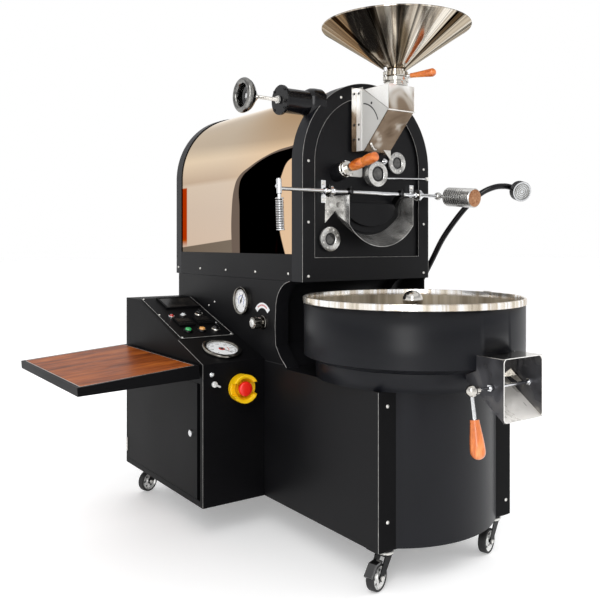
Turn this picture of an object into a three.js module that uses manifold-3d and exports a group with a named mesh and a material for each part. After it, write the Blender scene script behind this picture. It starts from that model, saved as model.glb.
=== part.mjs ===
// Shop drum coffee roaster on casters: housing, cooling tray, control cabinet and side table
// Millimetres, +Z up. The machine's front faces -Y, and y = 0 is the front face of the housing.
import * as THREE from 'three';
import { mergeVertices } from 'three/addons/utils/BufferGeometryUtils.js';
import Module from 'manifold-3d';

const wasm = await Module();
wasm.setup();

// Fits and sheets used all over the machine
const seat = 0.3;
const runningGap = 0.6;
const overrun = 12;
const sheet = 3;
const thinSheet = 2;

// Facets of round forms
const wideFacets = 36;
const roundFacets = 18;
const smallFacets = 10;
const pinFacets = 8;
const archSteps = 20;
const quarterTurn = 90;
const halfTurn = 180;

// Drum housing
const body = {
  halfWidth: 271,
  archCentreZ: 1208.5,
  bottomZ: 830,
  depth: 901,
  frontBand: 60,
  rearBand: 45,
  stripTopZ: 917,
  ringWidth: 47,
  railTopZ: 906,
  faceRecess: 9,
  faceSheet: 4,
  rearInset: 2,
  coverSheet: 1.5,
  coverTuck: 10,
  coverLap: 17,
};
const bandInner = body.halfWidth - sheet;
const plateHalfWidth = bandInner - seat;
const plateBottomZ = body.bottomZ + sheet + seat;
const faceFront = body.faceRecess - seat;
const faceBack = body.faceRecess + body.faceSheet;
const ringInner = body.halfWidth - body.ringWidth;
const rearPlateBack = body.depth - body.rearInset;

// Base with its waisted throat
const base = {
  bottomZ: 105,
  topZ: 546,
  frontY: -359,
  rearInset: 21,
  throatY: 153.5,
  chamferRun: 65,
  chamferRise: 68,
  throatArc: 93,
  recess: 40,
  flange: 50,
  shroudHalfWidth: 205,
  shroudBulge: 66,
};
const roofZ = body.bottomZ - seat;
const baseRear = body.depth - base.rearInset;
const baseFront = base.frontY + sheet + seat;

// Casters, with the wheel trailing behind the swivel
const caster = {
  wheelRadius: 37.5,
  wheelWidth: 25,
  treadDepth: 6,
  trail: 45,
  axleRadius: 5,
  legSheet: 3,
  legGap: 2,
  crownRadius: 24,
  crownHeight: 14,
  plateLength: 94,
  plateWidth: 50,
  angle: 18,
  sideInset: 49,
  frontY: -330,
  rearInset: 76,
  cabinetX: -130.7,
  cabinetRearInset: 56,
};

// Roasting drum, its drive and the burner below it
const drum = {
  centreZ: 1150,
  radius: 195,
  wall: 3,
  frontY: 20,
  rearGap: 101,
  rearDisc: 5,
  shaftRadius: 15,
  shaftOut: 34,
  flightDepth: 28,
  flightInset: 30,
};
const drumDrive = {
  noseRadius: 38,
  noseDepth: 10,
  flangeRadius: 60,
  flangeDepth: 8,
  caseHalfWidth: 55,
  caseDepth: 92,
  caseHalfHeight: 65,
  motorRadius: 44,
  motorLength: 150,
};
const burner = {
  tubeRadius: 14,
  centreZ: 890,
  spacing: 85,
  frontY: 120,
  rearGap: 201,
  legHalfDepth: 8,
  legInset: 90,
};
const drumRear = body.depth - drum.rearGap;
const shaftEnd = body.depth + drum.shaftOut;
const burnerRear = body.depth - burner.rearGap;

// Cooling tray
const tray = {
  centreY: -207,
  topZ: 789.5,
  rimRadius: 339,
  rimBand: 19,
  rimEase: 2,
  bandRadius: 336,
  bandBottomZ: 613,
  collarRadius: 300,
  coneDrop: 16,
  panSheet: 1.5,
  floorSheet: 2,
  ledge: 10,
  motorHoleRadius: 60,
  outletHalfWidth: 62,
  outletTopZ: 646,
};
const collarBottomZ = base.topZ + seat;
const collarInner = tray.collarRadius - sheet;
const bandInnerRadius = tray.bandRadius - sheet;
const coneSlope = tray.coneDrop / (tray.bandRadius - tray.collarRadius);
const panOuter = bandInnerRadius - seat;
const ledgeOuter = collarInner - seat;
const coneInsideTopZ = tray.bandBottomZ + sheet / 2;
const coneInsideBottomZ = coneInsideTopZ - coneSlope * (bandInnerRadius - collarInner);
const shoulderTopZ = coneInsideTopZ + seat + tray.panSheet;
const shoulderBottomZ = coneInsideBottomZ + seat;
const floorBottomZ = shoulderBottomZ + seat;
const floorTopZ = floorBottomZ + tray.floorSheet;
const floorRadius = ledgeOuter - tray.panSheet - seat;
const slots = {
  firstRadius: 72,
  reach: 86,
  width: 6,
  pitch: 108,
  rings: 2,
  perRing: 18,
};

const agitator = {
  shaftRadius: 10,
  shaftDepth: 34,
  columnRadius: 16,
  ballRadius: 30,
  ballZ: 775,
  floorGap: 4,
  armReach: 288,
  armHalfWidth: 8,
  armHeight: 12,
  armZ: 640,
  bladeSheet: 4,
  bladeStart: 46,
  bladeLean: 24,
  arms: 3,
};
const trayDrive = {
  headRadius: 34,
  barDepth: 15,
  barHalfWidth: 15,
  motorRadius: 45,
  motorBottomZ: 470,
  headHeight: 9,
};
const blower = {
  inletY: -20,
  inletRadius: 68,
  neckWall: 3,
  flangeRadius: 95,
  scrollRadius: 115,
  scrollTopZ: 524,
  scrollBottomZ: 436,
  ductWidth: 70,
  ductWall: 3,
  motorRadius: 50,
  motorBottomZ: 330,
};
const neckRadius = blower.inletRadius + blower.neckWall;

// Chute in front of the tray, with its flap
const chute = {
  halfWidth: 77,
  mouthY: -627,
  topZ: 651,
  bottomZ: 486,
  backLowZ: 574,
  corner: 14,
};
const flap = {
  shaftRadius: 5,
  shaftY: -585,
  shaftZ: 573,
  hubX: -152,
  hubRadius: 16,
  plateY: -546,
  plateHalfWidth: 70,
  plateTopZ: 648,
  plateBottomZ: 584,
  armX: 50,
  armHalfWidth: 4,
  armHeight: 24,
  leverRadius: 5,
  leverLean: 8,
  gripStart: 72,
  gripLength: 104,
  gripNeck: 12,
  gripBelly: 21,
  gripBore: 14,
};

// Hopper, feed gate and inlet chute
const hopper = {
  y: -130,
  rimZ: 1639,
  rimRadius: 236,
  rimBead: 5,
  coneBottomZ: 1500,
  neckRadius: 33,
  neckBore: 30,
  collarRadius: 39,
  collarTopZ: 1493,
  collarBottomZ: 1463,
  footRadius: 38,
  footSheet: 5,
};
const gate = {
  centreZ: 1478,
  sheet: 3,
  radius: 32,
  angle: 20,
  reach: 44,
  rodRadius: 5,
  gripStart: 52,
  gripLength: 86,
  gripNeck: 6.5,
  gripBelly: 13,
};
const inlet = {
  halfWidth: 53,
  frontY: -157,
  topZ: 1450,
  noseZ: 1370,
  heelY: -38,
  heelZ: 1250,
  flangeHalfWidth: 76,
  flangeTopZ: 1459,
  holeRadius: 24,
  feedHalfWidth: 40,
  feedTopZ: 1330,
  feedBottomZ: 1264,
  stripDepth: 31,
};

// Discharge door and its gear
const gear = {
  shaftY: -32,
  shaftZ: 1116,
  shaftRadius: 6,
  rightOut: 8,
  handleOut: 108,
  bearingInset: 34,
  ringRadius: 19.5,
  ringWidth: 10,
  lugSpacing: 52,
  lugHalfWidth: 9,
  lugHalfHeight: 10,
  lugDepth: 9,
};
const door = {
  ringGap: 99,
  topZ: 1095,
  bottomZ: 986,
  arcRadius: 165,
  rimSheet: 5,
  panelInset: 20,
  panelProud: 12,
  openingInset: 30,
  openingTopZ: 1085,
  openingBottomZ: 1000,
  armInset: 16,
  armWidth: 12,
  collarRadius: 14,
  armFootZ: 1062,
};
const trough = {
  ringGap: 87,
  mouthY: -65,
  cheekTopZ: 1105,
  bottomZ: 940,
  arcRadius: 168,
  slope: 0.514,
  earWidth: 41,
  earLowZ: 1016,
  earHighZ: 1058,
};
const handleX = -body.halfWidth - gear.handleOut;
const shaftRight = body.halfWidth + gear.rightOut;
const bearingX = ringInner - gear.bearingInset;
const doorHalfWidth = ringInner - door.ringGap;
const doorArmX = doorHalfWidth - door.armInset;
const troughHalfWidth = ringInner - trough.ringGap;
const handle = {
  topZ: 1147,
  bottomZ: 990,
  coreRadius: 5.5,
  headRadius: 8,
  headLength: 48,
  collarRadius: 13,
  collarHeight: 4,
  coilRadius: 11.2,
  wireRadius: 1.5,
  springTopZ: 1084,
  turns: 17,
  lean: 3.5,
};
const weight = {
  hubRadius: 14,
  armRadius: 6.5,
  startReach: 50,
  endReach: 175,
  radius: 26.5,
  droop: 5,
  grooves: 7,
  grooveDepth: 3,
  grooveShare: 0.6,
  edge: 3,
};

// Sample spoon through the face plate
const trier = {
  ringGap: 94,
  entryZ: 1178,
  rise: 10.7,
  tubeRadius: 12,
  bushRadius: 15,
  bossRadius: 28,
  bossLength: 40,
  collarRadius: 22.5,
  collarLength: 22,
  ferruleRadius: 14,
  ferruleLength: 17,
  insideLength: 200,
  scoopWall: 2,
  gripLength: 118,
  gripRadius: 14,
  gripWaist: 9,
};
const glasses = {
  main: { x: 18, z: 1182, radius: 37, proud: 30, glass: 21, rimDepth: 13, barrel: 33 },
  upper: { ringGap: 105, z: 1225, radius: 34, proud: 12, glass: 15, rimDepth: 7, barrel: 31 },
  lower: { ringGap: 57, z: 965, radius: 36, proud: 12, glass: 20, rimDepth: 7, barrel: 33 },
};
glasses.upper.x = ringInner - glasses.upper.ringGap;
glasses.lower.x = glasses.lower.ringGap - ringInner;
const glassDepth = 5;

// Exhaust stub with its damper, with distances out from the housing's left side
const exhaust = {
  y: 48,
  z: 1400,
  radius: 39,
  wall: 3,
  flangeRadius: 47,
  flangeOut: 54,
  flangeDepth: 9,
  saddleRadius: 50,
  stemRadius: 6,
  stemOut: 173,
  discRadius: 30,
  discOut: 17,
  discSheet: 4,
  wheelRadius: 53.5,
  wheelFaceOut: 196,
  wheelBackOut: 141,
  wheelHubRadius: 15,
  wheelWall: 4,
};

const leftOf = (out) => -body.halfWidth - out;

// Lamp on a bent neck, with its route's first numbers out from the right side
const lamp = {
  neckRadius: 10,
  footRadius: 20,
  footDepth: 14,
  headRadius: 27,
  headBack: 16,
  headLength: 52,
  lensDepth: 5,
};
const lampRoute = [
  [12, 186, 650], [15, 180, 690], [17, 150, 728], [17, 100, 775], [25, 52, 830],
  [37, 20, 890], [49, -20, 965], [64, -66, 1030], [81, -110, 1083], [107, -154, 1126],
  [144, -188, 1146], [175, -207, 1142],
].map(([out, y, z]) => [body.halfWidth + out, y, z]);
const lampFace = { out: 209, y: -240, z: 1128 };

// Control cabinet on the left, with x from its right side
const cabinet = {
  width: 231.5,
  frontY: 222,
  rearY: 860,
  slopeFootZ: 564,
  slopeTopY: 750,
  topZ: 740.6,
  wall: 2.5,
  doorFrontY: 262,
  doorRearY: 847,
  doorBottomZ: 125,
  doorTopZ: 500,
  postWidth: 18,
  doorLip: 12,
};
const cabinetSide = -body.halfWidth - seat;
const cabinetLeft = -cabinet.width;
const swivels = {
  front_left: [caster.sideInset - body.halfWidth, caster.frontY],
  front_right: [body.halfWidth - caster.sideInset, caster.frontY],
  rear_left: [cabinetSide + caster.cabinetX, cabinet.rearY - caster.cabinetRearInset],
  rear_right: [body.halfWidth - caster.sideInset, baseRear - caster.rearInset],
};
const consoleSlope = Math.atan2(cabinet.topZ - cabinet.slopeFootZ, cabinet.slopeTopY - cabinet.frontY);
const panel = {
  leftX: -216.7,
  rightX: -14.7,
  lowY: 407,
  highY: 748,
  sheet: 2,
  edge: 9,
  bezelProud: 7,
  collarRadius: 14,
  collarHeight: 4,
  buttonRadius: 10.5,
  buttonProud: 12,
  buttonDepth: 8,
};
const display = { x: -93.7, y: 690, halfWidth: 70, halfHeight: 50, recess: 2, rim: 8 };
const controllers = {
  left: { x: -149.7, y: 524, halfWidth: 31, halfHeight: 32 },
  right: { x: -73.7, y: 528, halfWidth: 31, halfHeight: 32 },
};
const greenButton = { x: -166.7, y: 458 };
const amberButton = { x: -114.7, y: 455 };
const selector = { x: -59.7, y: 455, radius: 11.5, barLength: 24, barHalfWidth: 4, proud: 22, skirt: 7 };
const thermometer = { x: -116.7, y: 309, radius: 68, dial: 58, proud: 20, rim: 6, recess: 8 };

// Emergency stop on the cabinet's front
const estop = {
  x: -93.7,
  z: 478,
  shroudRadius: 48,
  shroudWall: 7,
  shroudProud: 45,
  backSheet: 4,
  notchHalfHeight: 17,
  notchDepth: 26,
  headRadius: 20,
  headDepth: 13,
  headProud: 44,
  neckRadius: 12,
  stemRadius: 10,
  travel: 6,
};

// Fittings on the left side of the base
const gauge = { y: 360, z: 750, radius: 47, dial: 41, proud: 26, rim: 4, recess: 6 };
const gasKnob = {
  y: 231,
  z: 685,
  flangeRadius: 24,
  flangeDepth: 6,
  stemRadius: 9,
  gripStart: 14,
  gripRadius: 20,
  proud: 45,
  flutes: 9,
  fluteRadius: 3,
};

// Side table that folds down
const sideTable = {
  width: 393,
  frontY: 233,
  rearY: 844,
  topZ: 563,
  innerDepth: 44,
  outerDepth: 26,
  border: 12,
  ledge: 18,
  woodSheet: 18,
  droop: 4.37,
  gap: 8,
  knuckleRadius: 6,
  knuckleLength: 70,
  knuckleInset: 60,
};

// Colours and surfaces
const finishes = {
  black: { color: 0x17191c, roughness: 0.42, metalness: 0.25 },
  gloss: { color: 0x0b0c0e, roughness: 0.15, metalness: 0.1 },
  bronze: { color: 0xb98a6c, roughness: 0.12, metalness: 1 },
  steel: { color: 0xc9c9c6, roughness: 0.28, metalness: 1 },
  chrome: { color: 0xdcdddc, roughness: 0.12, metalness: 1 },
  zinc: { color: 0x9a9c9c, roughness: 0.45, metalness: 1 },
  motor: { color: 0x3c4147, roughness: 0.55, metalness: 0.3 },
  wood: { color: 0xb4562a, roughness: 0.5, metalness: 0 },
  tableWood: { color: 0x8a4a2c, roughness: 0.5, metalness: 0 },
  yellow: { color: 0xf2d100, roughness: 0.45, metalness: 0 },
  red: { color: 0xd8231c, roughness: 0.35, metalness: 0 },
  green: { color: 0x1d9c4d, roughness: 0.3, metalness: 0 },
  amber: { color: 0xd99a3c, roughness: 0.3, metalness: 0 },
  dial: { color: 0xf0f0ec, roughness: 0.4, metalness: 0.1 },
  tyre: { color: 0x202020, roughness: 0.8, metalness: 0 },
};

// Solids from three.js geometry
const vertexMergeShare = 1e-4;

function signedVolume(points, corners) {
  let sum = 0;
  const [a, b, c] = [new THREE.Vector3(), new THREE.Vector3(), new THREE.Vector3()];
  for (let i = 0; i < corners.length; i += 3) {
    a.fromArray(points, corners[i] * 3);
    b.fromArray(points, corners[i + 1] * 3);
    c.fromArray(points, corners[i + 2] * 3);
    sum += a.dot(b.cross(c));
  }
  return sum;
}

function asSolid(shape) {
  if (!shape.isBufferGeometry) return shape;
  const bare = shape.clone();
  bare.deleteAttribute('normal');
  bare.deleteAttribute('uv');
  const merged = mergeVertices(bare, vertexMergeShare);
  const points = Float32Array.from(merged.getAttribute('position').array);
  const index = merged.index.array;
  let corners = [];
  for (let i = 0; i < index.length; i += 3) {
    const [a, b, c] = [index[i], index[i + 1], index[i + 2]];
    if (a !== b && b !== c && c !== a) corners.push(a, b, c);
  }
  if (signedVolume(points, corners) < 0) corners = corners.reverse();
  return new wasm.Manifold(new wasm.Mesh({
    numProp: 3,
    vertProperties: points,
    triVerts: Uint32Array.from(corners),
  }));
}

// A bore whose flats clear a round piece that turns in it
const turningBore = (radius, facets) => (radius + seat) / Math.cos(Math.PI / facets);

const join = (...shapes) => shapes.map(asSolid).reduce((whole, next) => whole.add(next));
const cut = (whole, ...tools) =>
  tools.map(asSolid).reduce((rest, tool) => rest.subtract(tool), asSolid(whole));
const common = (first, second) => asSolid(first).intersect(asSolid(second));

function block([x0, x1], [y0, y1], [z0, z1]) {
  const box = new THREE.BoxGeometry(x1 - x0, y1 - y0, z1 - z0);
  return box.translate((x0 + x1) / 2, (y0 + y1) / 2, (z0 + z1) / 2);
}

// Turns a geometry made about Y so that its axis runs along x, y or z
function alongAxis(geometry, axis) {
  if (axis === 'x') return geometry.rotateZ(-Math.PI / 2);
  if (axis === 'z') return geometry.rotateX(Math.PI / 2);
  return geometry;
}

// A round bar along an axis, at the two other coordinates in x, y, z order
function rod(axis, radius, [from, to], [u, v], facets = smallFacets) {
  const bar = alongAxis(new THREE.CylinderGeometry(radius, radius, Math.abs(to - from), facets), axis);
  const middle = (from + to) / 2;
  const place = { x: [middle, u, v], y: [u, middle, v], z: [u, v, middle] }[axis];
  return bar.translate(...place);
}

// A turned form: profile points are radius and height along the axis
function turn(axis, profile, place = [0, 0, 0], facets = roundFacets) {
  const points = [...profile, profile[0]].map(([radius, height]) => new THREE.Vector2(radius, height));
  const closed = profile[0][0] > 0 ? points : points.slice(0, -1);
  return alongAxis(new THREE.LatheGeometry(closed, facets), axis).translate(...place);
}

function outlineShape(points, holes = []) {
  const shape = new THREE.Shape(points.map(([u, v]) => new THREE.Vector2(u, v)));
  shape.holes = holes.map((hole) => new THREE.Path(hole.map(([u, v]) => new THREE.Vector2(u, v))));
  return shape;
}

function extruded(points, depth, holes) {
  return new THREE.ExtrudeGeometry(outlineShape(points, holes), { depth, bevelEnabled: false });
}

const [unitX, unitY, unitZ] = [
  new THREE.Vector3(1, 0, 0), new THREE.Vector3(0, 1, 0), new THREE.Vector3(0, 0, 1),
];

// Outline in y and z, extruded along x
function prismX(points, [x0, x1], holes) {
  const turned = new THREE.Matrix4().makeBasis(unitY, unitZ, unitX);
  return extruded(points, x1 - x0, holes).applyMatrix4(turned).translate(x0, 0, 0);
}

// Outline in x and z, extruded along y
function prismY(points, [y0, y1], holes) {
  return extruded(points, y1 - y0, holes).rotateX(Math.PI / 2).translate(0, y1, 0);
}

// Outline in x and y, extruded along z
function prismZ(points, [z0, z1], holes) {
  return extruded(points, z1 - z0, holes).translate(0, 0, z0);
}

function arc([u, v], radius, fromDegrees, toDegrees, steps = pinFacets) {
  const points = [];
  for (let i = 0; i <= steps; i += 1) {
    const angle = THREE.MathUtils.degToRad(fromDegrees + ((toDegrees - fromDegrees) * i) / steps);
    points.push([u + radius * Math.cos(angle), v + radius * Math.sin(angle)]);
  }
  return points;
}

// The housing's outline: square below, a half circle above
function archOutline(halfWidth, bottomZ) {
  return [
    [-halfWidth, bottomZ],
    [halfWidth, bottomZ],
    ...arc([0, body.archCentreZ], halfWidth, 0, halfTurn, archSteps),
  ];
}

// A tub outline: straight sides and a round bottom
function tubOutline(halfWidth, topZ, bottomZ, radius) {
  const side = THREE.MathUtils.radToDeg(Math.asin(halfWidth / radius));
  return [
    [-halfWidth, topZ],
    ...arc([0, bottomZ + radius], radius, -quarterTurn - side, -quarterTurn + side, smallFacets),
    [halfWidth, topZ],
  ];
}

// A tube along a list of points
function sweep(points, radius, facets, steps) {
  const curve = new THREE.CatmullRomCurve3(points.map((point) => new THREE.Vector3(...point)));
  const section = new THREE.Shape(
    arc([0, 0], radius, 0, 2 * halfTurn, facets).slice(0, -1).map(([u, v]) => new THREE.Vector2(u, v)),
  );
  return new THREE.ExtrudeGeometry(section, { steps, extrudePath: curve, bevelEnabled: false });
}

function meshOf(name, solid, finish) {
  const { vertProperties, triVerts } = asSolid(solid).getMesh();
  const geometry = new THREE.BufferGeometry();
  geometry.setAttribute('position', new THREE.BufferAttribute(Float32Array.from(vertProperties), 3));
  geometry.setIndex(new THREE.BufferAttribute(Uint32Array.from(triVerts), 1));
  geometry.computeVertexNormals();
  const mesh = new THREE.Mesh(geometry, new THREE.MeshStandardMaterial(finishes[finish]));
  mesh.name = name;
  return mesh;
}

const roaster = new THREE.Group();
const add = (name, solid, finish, parent = roaster) => parent.add(meshOf(name, solid, finish));

// Base

// The throat's side outline, from the table top up to the housing
function throatOutline(shift, footZ) {
  const wallY = base.throatY + shift;
  return [
    [wallY - base.chamferRun, footZ],
    [wallY, base.topZ + base.chamferRise],
    ...arc([wallY - base.throatArc, roofZ - base.throatArc], base.throatArc, 0, quarterTurn),
  ];
}

function casterPlate([x, y]) {
  const [length, width] = [caster.plateLength / 2, caster.plateWidth / 2];
  const heights = [base.bottomZ - sheet, base.bottomZ + sheet / 2];
  return block([x - length, x + length], [y - width, y + width], heights);
}

function baseShell() {
  const inner = body.halfWidth - sheet;
  const hull = prismX([
    [baseFront, base.bottomZ],
    [baseFront, base.topZ],
    ...throatOutline(0, base.topZ),
    [baseRear, roofZ],
    [baseRear, base.bottomZ],
  ], [-body.halfWidth, body.halfWidth]);
  const recessHalfWidth = body.halfWidth - base.flange;
  const recess = prismX([
    ...throatOutline(base.recess, base.topZ),
    [base.throatY + base.recess - base.throatArc, roofZ + overrun],
    [0, roofZ + overrun],
    [0, base.topZ],
  ], [-recessHalfWidth, recessHalfWidth]);
  const shaft = prismX([
    [baseFront + sheet, base.bottomZ + sheet],
    [baseFront + sheet, base.topZ - sheet],
    ...throatOutline(base.recess + 2 * sheet, base.topZ - sheet),
    [baseRear - sheet, roofZ],
    [baseRear - sheet, base.bottomZ + sheet],
  ], [-inner, inner]);
  const cavity = common(shaft, block(
    [-inner, inner],
    [baseFront, baseRear],
    [base.bottomZ, roofZ - sheet],
  ));
  const front = block(
    [-base.shroudHalfWidth, base.shroudHalfWidth],
    [baseFront - overrun, baseFront + overrun],
    [base.bottomZ + sheet, base.topZ - sheet],
  );
  const topCut = [base.topZ - overrun, base.topZ + overrun];
  const motorHole = rod('z', tray.motorHoleRadius, topCut, [0, tray.centreY], roundFacets);
  const fanHole = rod('z', neckRadius + runningGap, topCut, [0, blower.inletY], roundFacets);
  const ductHole = block(
    ...ductSection(-blower.ductWall).slice(0, 1),
    [baseRear - overrun, baseRear + overrun],
    ductSection(-blower.ductWall)[1],
  );
  const plates = ['front_left', 'front_right', 'rear_right'].map((corner) => casterPlate(swivels[corner]));
  return join(cut(hull, recess, cavity, front, motorHole, fanHole, ductHole), ...plates);
}

function frontPanel() {
  const [chord, bulge] = [base.shroudHalfWidth, base.shroudBulge];
  const radius = (chord * chord + bulge * bulge) / (2 * bulge);
  const centre = [0, base.frontY - bulge + radius];
  const side = THREE.MathUtils.radToDeg(Math.asin(chord / radius));
  return prismZ([
    [-body.halfWidth, base.frontY],
    ...arc(centre, radius, -quarterTurn - side, -quarterTurn + side, roundFacets),
    [body.halfWidth, base.frontY],
    [body.halfWidth, base.frontY + sheet],
    ...arc(centre, radius - sheet, -quarterTurn + side, -quarterTurn - side, roundFacets),
    [-body.halfWidth, base.frontY + sheet],
  ], [base.bottomZ, base.topZ]);
}

// Housing

function exhaustBore(radius) {
  const span = [-body.halfWidth - overrun, -body.halfWidth / 2];
  return rod('x', radius, span, [exhaust.y, exhaust.z], roundFacets);
}

function housingCradle() {
  const bands = [[sheet + seat, body.frontBand], [body.depth - body.rearBand, body.depth]].map((span) => {
    const through = [span[0] - overrun, span[1] + overrun];
    const inner = prismY(archOutline(bandInner, body.bottomZ + sheet), through);
    return cut(prismY(archOutline(body.halfWidth, body.bottomZ), span), inner);
  });
  const alongBody = [sheet + seat, body.depth];
  const strips = [[-body.halfWidth, -bandInner], [bandInner, body.halfWidth]].map(
    (span) => block(span, alongBody, [body.bottomZ, body.stripTopZ]),
  );
  const bottom = block([-body.halfWidth, body.halfWidth], alongBody, [body.bottomZ, body.bottomZ + sheet]);
  return cut(join(...bands, ...strips, bottom), exhaustBore(exhaust.radius - exhaust.wall));
}

function housingCover() {
  const [outer, inner] = [plateHalfWidth, plateHalfWidth - body.coverSheet];
  const bottomZ = body.stripTopZ - body.coverLap;
  const centre = [0, body.archCentreZ];
  const shell = prismY([
    [-outer, bottomZ],
    [-inner, bottomZ],
    ...arc(centre, inner, halfTurn, 0, archSteps),
    [inner, bottomZ],
    [outer, bottomZ],
    ...arc(centre, outer, 0, halfTurn, archSteps),
  ], [body.frontBand - body.coverTuck, body.depth - body.rearBand + body.coverTuck]);
  return cut(shell, exhaustBore(exhaust.radius - exhaust.wall));
}

function frontPlate() {
  const inner = body.halfWidth - body.ringWidth;
  const opening = archOutline(inner, body.railTopZ);
  const ring = prismY(archOutline(body.halfWidth, body.bottomZ), [0, sheet], [opening]);
  const lip = prismY(archOutline(inner + sheet, body.railTopZ - sheet), [sheet / 2, faceFront], [opening]);
  return join(ring, lip);
}

// Places a form made along its own z axis on the trier's slanting axis
const trierSlant = new THREE.Matrix4()
  .makeTranslation(trier.ringGap - ringInner, body.faceRecess, trier.entryZ)
  .multiply(new THREE.Matrix4().makeRotationX(THREE.MathUtils.degToRad(quarterTurn - trier.rise)));

function facePlate() {
  const span = [body.faceRecess, faceBack];
  const through = [span[0] - overrun, span[1] + overrun];
  const plate = prismY(archOutline(plateHalfWidth, plateBottomZ), span);
  const boss = rod('z', trier.bossRadius, [-body.faceSheet, trier.bossLength], [0, 0], roundFacets);
  const behind = block(
    [-body.halfWidth, body.halfWidth],
    [faceBack, faceBack + trier.bossLength],
    [body.bottomZ, body.archCentreZ],
  );
  const bore = rod(
    'z',
    trier.bushRadius + seat,
    [-trier.bossRadius, trier.bossLength + overrun],
    [0, 0],
    roundFacets,
  );
  const doorway = prismY(
    tubOutline(doorHalfWidth - door.openingInset, door.openingTopZ, door.openingBottomZ, door.arcRadius),
    through,
  );
  const feed = block(
    [-inlet.feedHalfWidth, inlet.feedHalfWidth],
    through,
    [inlet.feedBottomZ, inlet.feedTopZ],
  );
  const views = Object.values(glasses).map(({ x, z, glass }) => rod('y', glass, through, [x, z]));
  const whole = join(plate, cut(boss.applyMatrix4(trierSlant), behind));
  return cut(whole, bore.applyMatrix4(trierSlant), doorway, feed, ...views);
}

function rearPlate() {
  const span = [rearPlateBack - body.faceSheet, rearPlateBack];
  const hole = rod(
    'y',
    drumDrive.noseRadius + seat,
    [span[0] - overrun, span[1] + overrun],
    [0, drum.centreZ],
    roundFacets,
  );
  return cut(prismY(archOutline(plateHalfWidth, plateBottomZ), span), hole);
}

// Drum, drive and burner

function roastingDrum() {
  const inner = drum.radius - drum.wall;
  const shell = turn('y', [
    [0, drumRear - drum.rearDisc],
    [inner, drumRear - drum.rearDisc],
    [inner, drum.frontY],
    [drum.radius, drum.frontY],
    [drum.radius, drumRear],
    [drum.shaftRadius, drumRear],
    [drum.shaftRadius, shaftEnd],
    [0, shaftEnd],
  ], [0, 0, 0], wideFacets);
  const flights = [0, 1, 2, 3].map((index) => block(
    [inner - drum.flightDepth, inner + drum.wall / 2],
    [drum.frontY + drum.flightInset, drumRear - drum.flightInset],
    [0, drum.wall],
  ).rotateY(index * Math.PI / 2));
  return join(shell, ...flights).translate(0, 0, drum.centreZ);
}

function drumGearmotor() {
  const flangeFront = rearPlateBack + seat;
  const caseFront = flangeFront + drumDrive.flangeDepth;
  const caseBack = flangeFront + drumDrive.caseDepth;
  const centre = [0, drum.centreZ];
  const bottomZ = drum.centreZ - drumDrive.caseHalfHeight;
  const noseFront = rearPlateBack - body.faceSheet - drumDrive.noseDepth;
  const solid = join(
    rod('y', drumDrive.noseRadius, [noseFront, caseFront], centre, roundFacets),
    rod('y', drumDrive.flangeRadius, [flangeFront, caseFront], centre, roundFacets),
    block(
      [-drumDrive.caseHalfWidth, drumDrive.caseHalfWidth],
      [caseFront, caseBack],
      [bottomZ, drum.centreZ + drumDrive.caseHalfHeight],
    ),
    rod(
      'z',
      drumDrive.motorRadius,
      [bottomZ - drumDrive.motorLength, bottomZ],
      [0, caseBack - drumDrive.motorRadius],
      roundFacets,
    ),
  );
  const boreSpan = [noseFront - overrun, shaftEnd + runningGap];
  const bore = rod('y', drum.shaftRadius + seat, boreSpan, centre, wideFacets);
  return cut(solid, bore);
}

function burnerRack() {
  const reach = burner.spacing + burner.tubeRadius;
  const tubes = [-burner.spacing, 0, burner.spacing].map(
    (x) => rod('y', burner.tubeRadius, [burner.frontY, burnerRear], [x, burner.centreZ]),
  );
  const header = rod('x', burner.tubeRadius, [-reach, reach], [burnerRear, burner.centreZ]);
  const legs = [burner.frontY + burner.legInset, burnerRear - burner.legInset].map((y) => block(
    [-reach, reach],
    [y - burner.legHalfDepth, y + burner.legHalfDepth],
    [plateBottomZ, burner.centreZ],
  ));
  return join(...tubes, header, ...legs);
}

// Cooling tray

function outletCut() {
  return block(
    [-tray.outletHalfWidth, tray.outletHalfWidth],
    [tray.centreY - tray.rimRadius - overrun, tray.centreY - ledgeOuter + tray.ledge],
    [floorTopZ, tray.outletTopZ],
  );
}

function trayDrum() {
  const shell = turn('z', [
    [tray.bandRadius, tray.topZ - tray.rimBand],
    [tray.bandRadius, tray.bandBottomZ],
    [tray.collarRadius, tray.bandBottomZ - tray.coneDrop],
    [tray.collarRadius, collarBottomZ],
    [tray.motorHoleRadius, collarBottomZ],
    [tray.motorHoleRadius, collarBottomZ + sheet],
    [collarInner, collarBottomZ + sheet],
    [collarInner, coneInsideBottomZ],
    [bandInnerRadius, coneInsideTopZ],
    [bandInnerRadius, tray.topZ - tray.rimBand],
  ], [0, tray.centreY, 0], wideFacets);
  const suction = rod(
    'z',
    blower.inletRadius,
    [collarBottomZ - overrun, collarBottomZ + overrun],
    [0, blower.inletY],
    roundFacets,
  );
  return cut(shell, suction, outletCut());
}

function trayPan() {
  const inner = panOuter - tray.panSheet;
  const shell = turn('z', [
    [tray.rimRadius, tray.topZ - tray.rimBand + seat],
    [tray.rimRadius, tray.topZ - tray.rimEase],
    [tray.rimRadius - tray.rimEase, tray.topZ],
    [inner + tray.rimEase, tray.topZ],
    [inner, tray.topZ - tray.rimEase],
    [inner, shoulderTopZ],
    [ledgeOuter - tray.panSheet, floorTopZ],
    [ledgeOuter - tray.panSheet, shoulderBottomZ],
    [ledgeOuter - tray.ledge, shoulderBottomZ],
    [ledgeOuter - tray.ledge, shoulderBottomZ - tray.panSheet],
    [ledgeOuter, shoulderBottomZ - tray.panSheet],
    [ledgeOuter, shoulderBottomZ],
    [panOuter, coneInsideTopZ + seat],
    [panOuter, tray.topZ - tray.rimBand + seat],
  ], [0, tray.centreY, 0], wideFacets);
  return cut(shell, outletCut());
}

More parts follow.
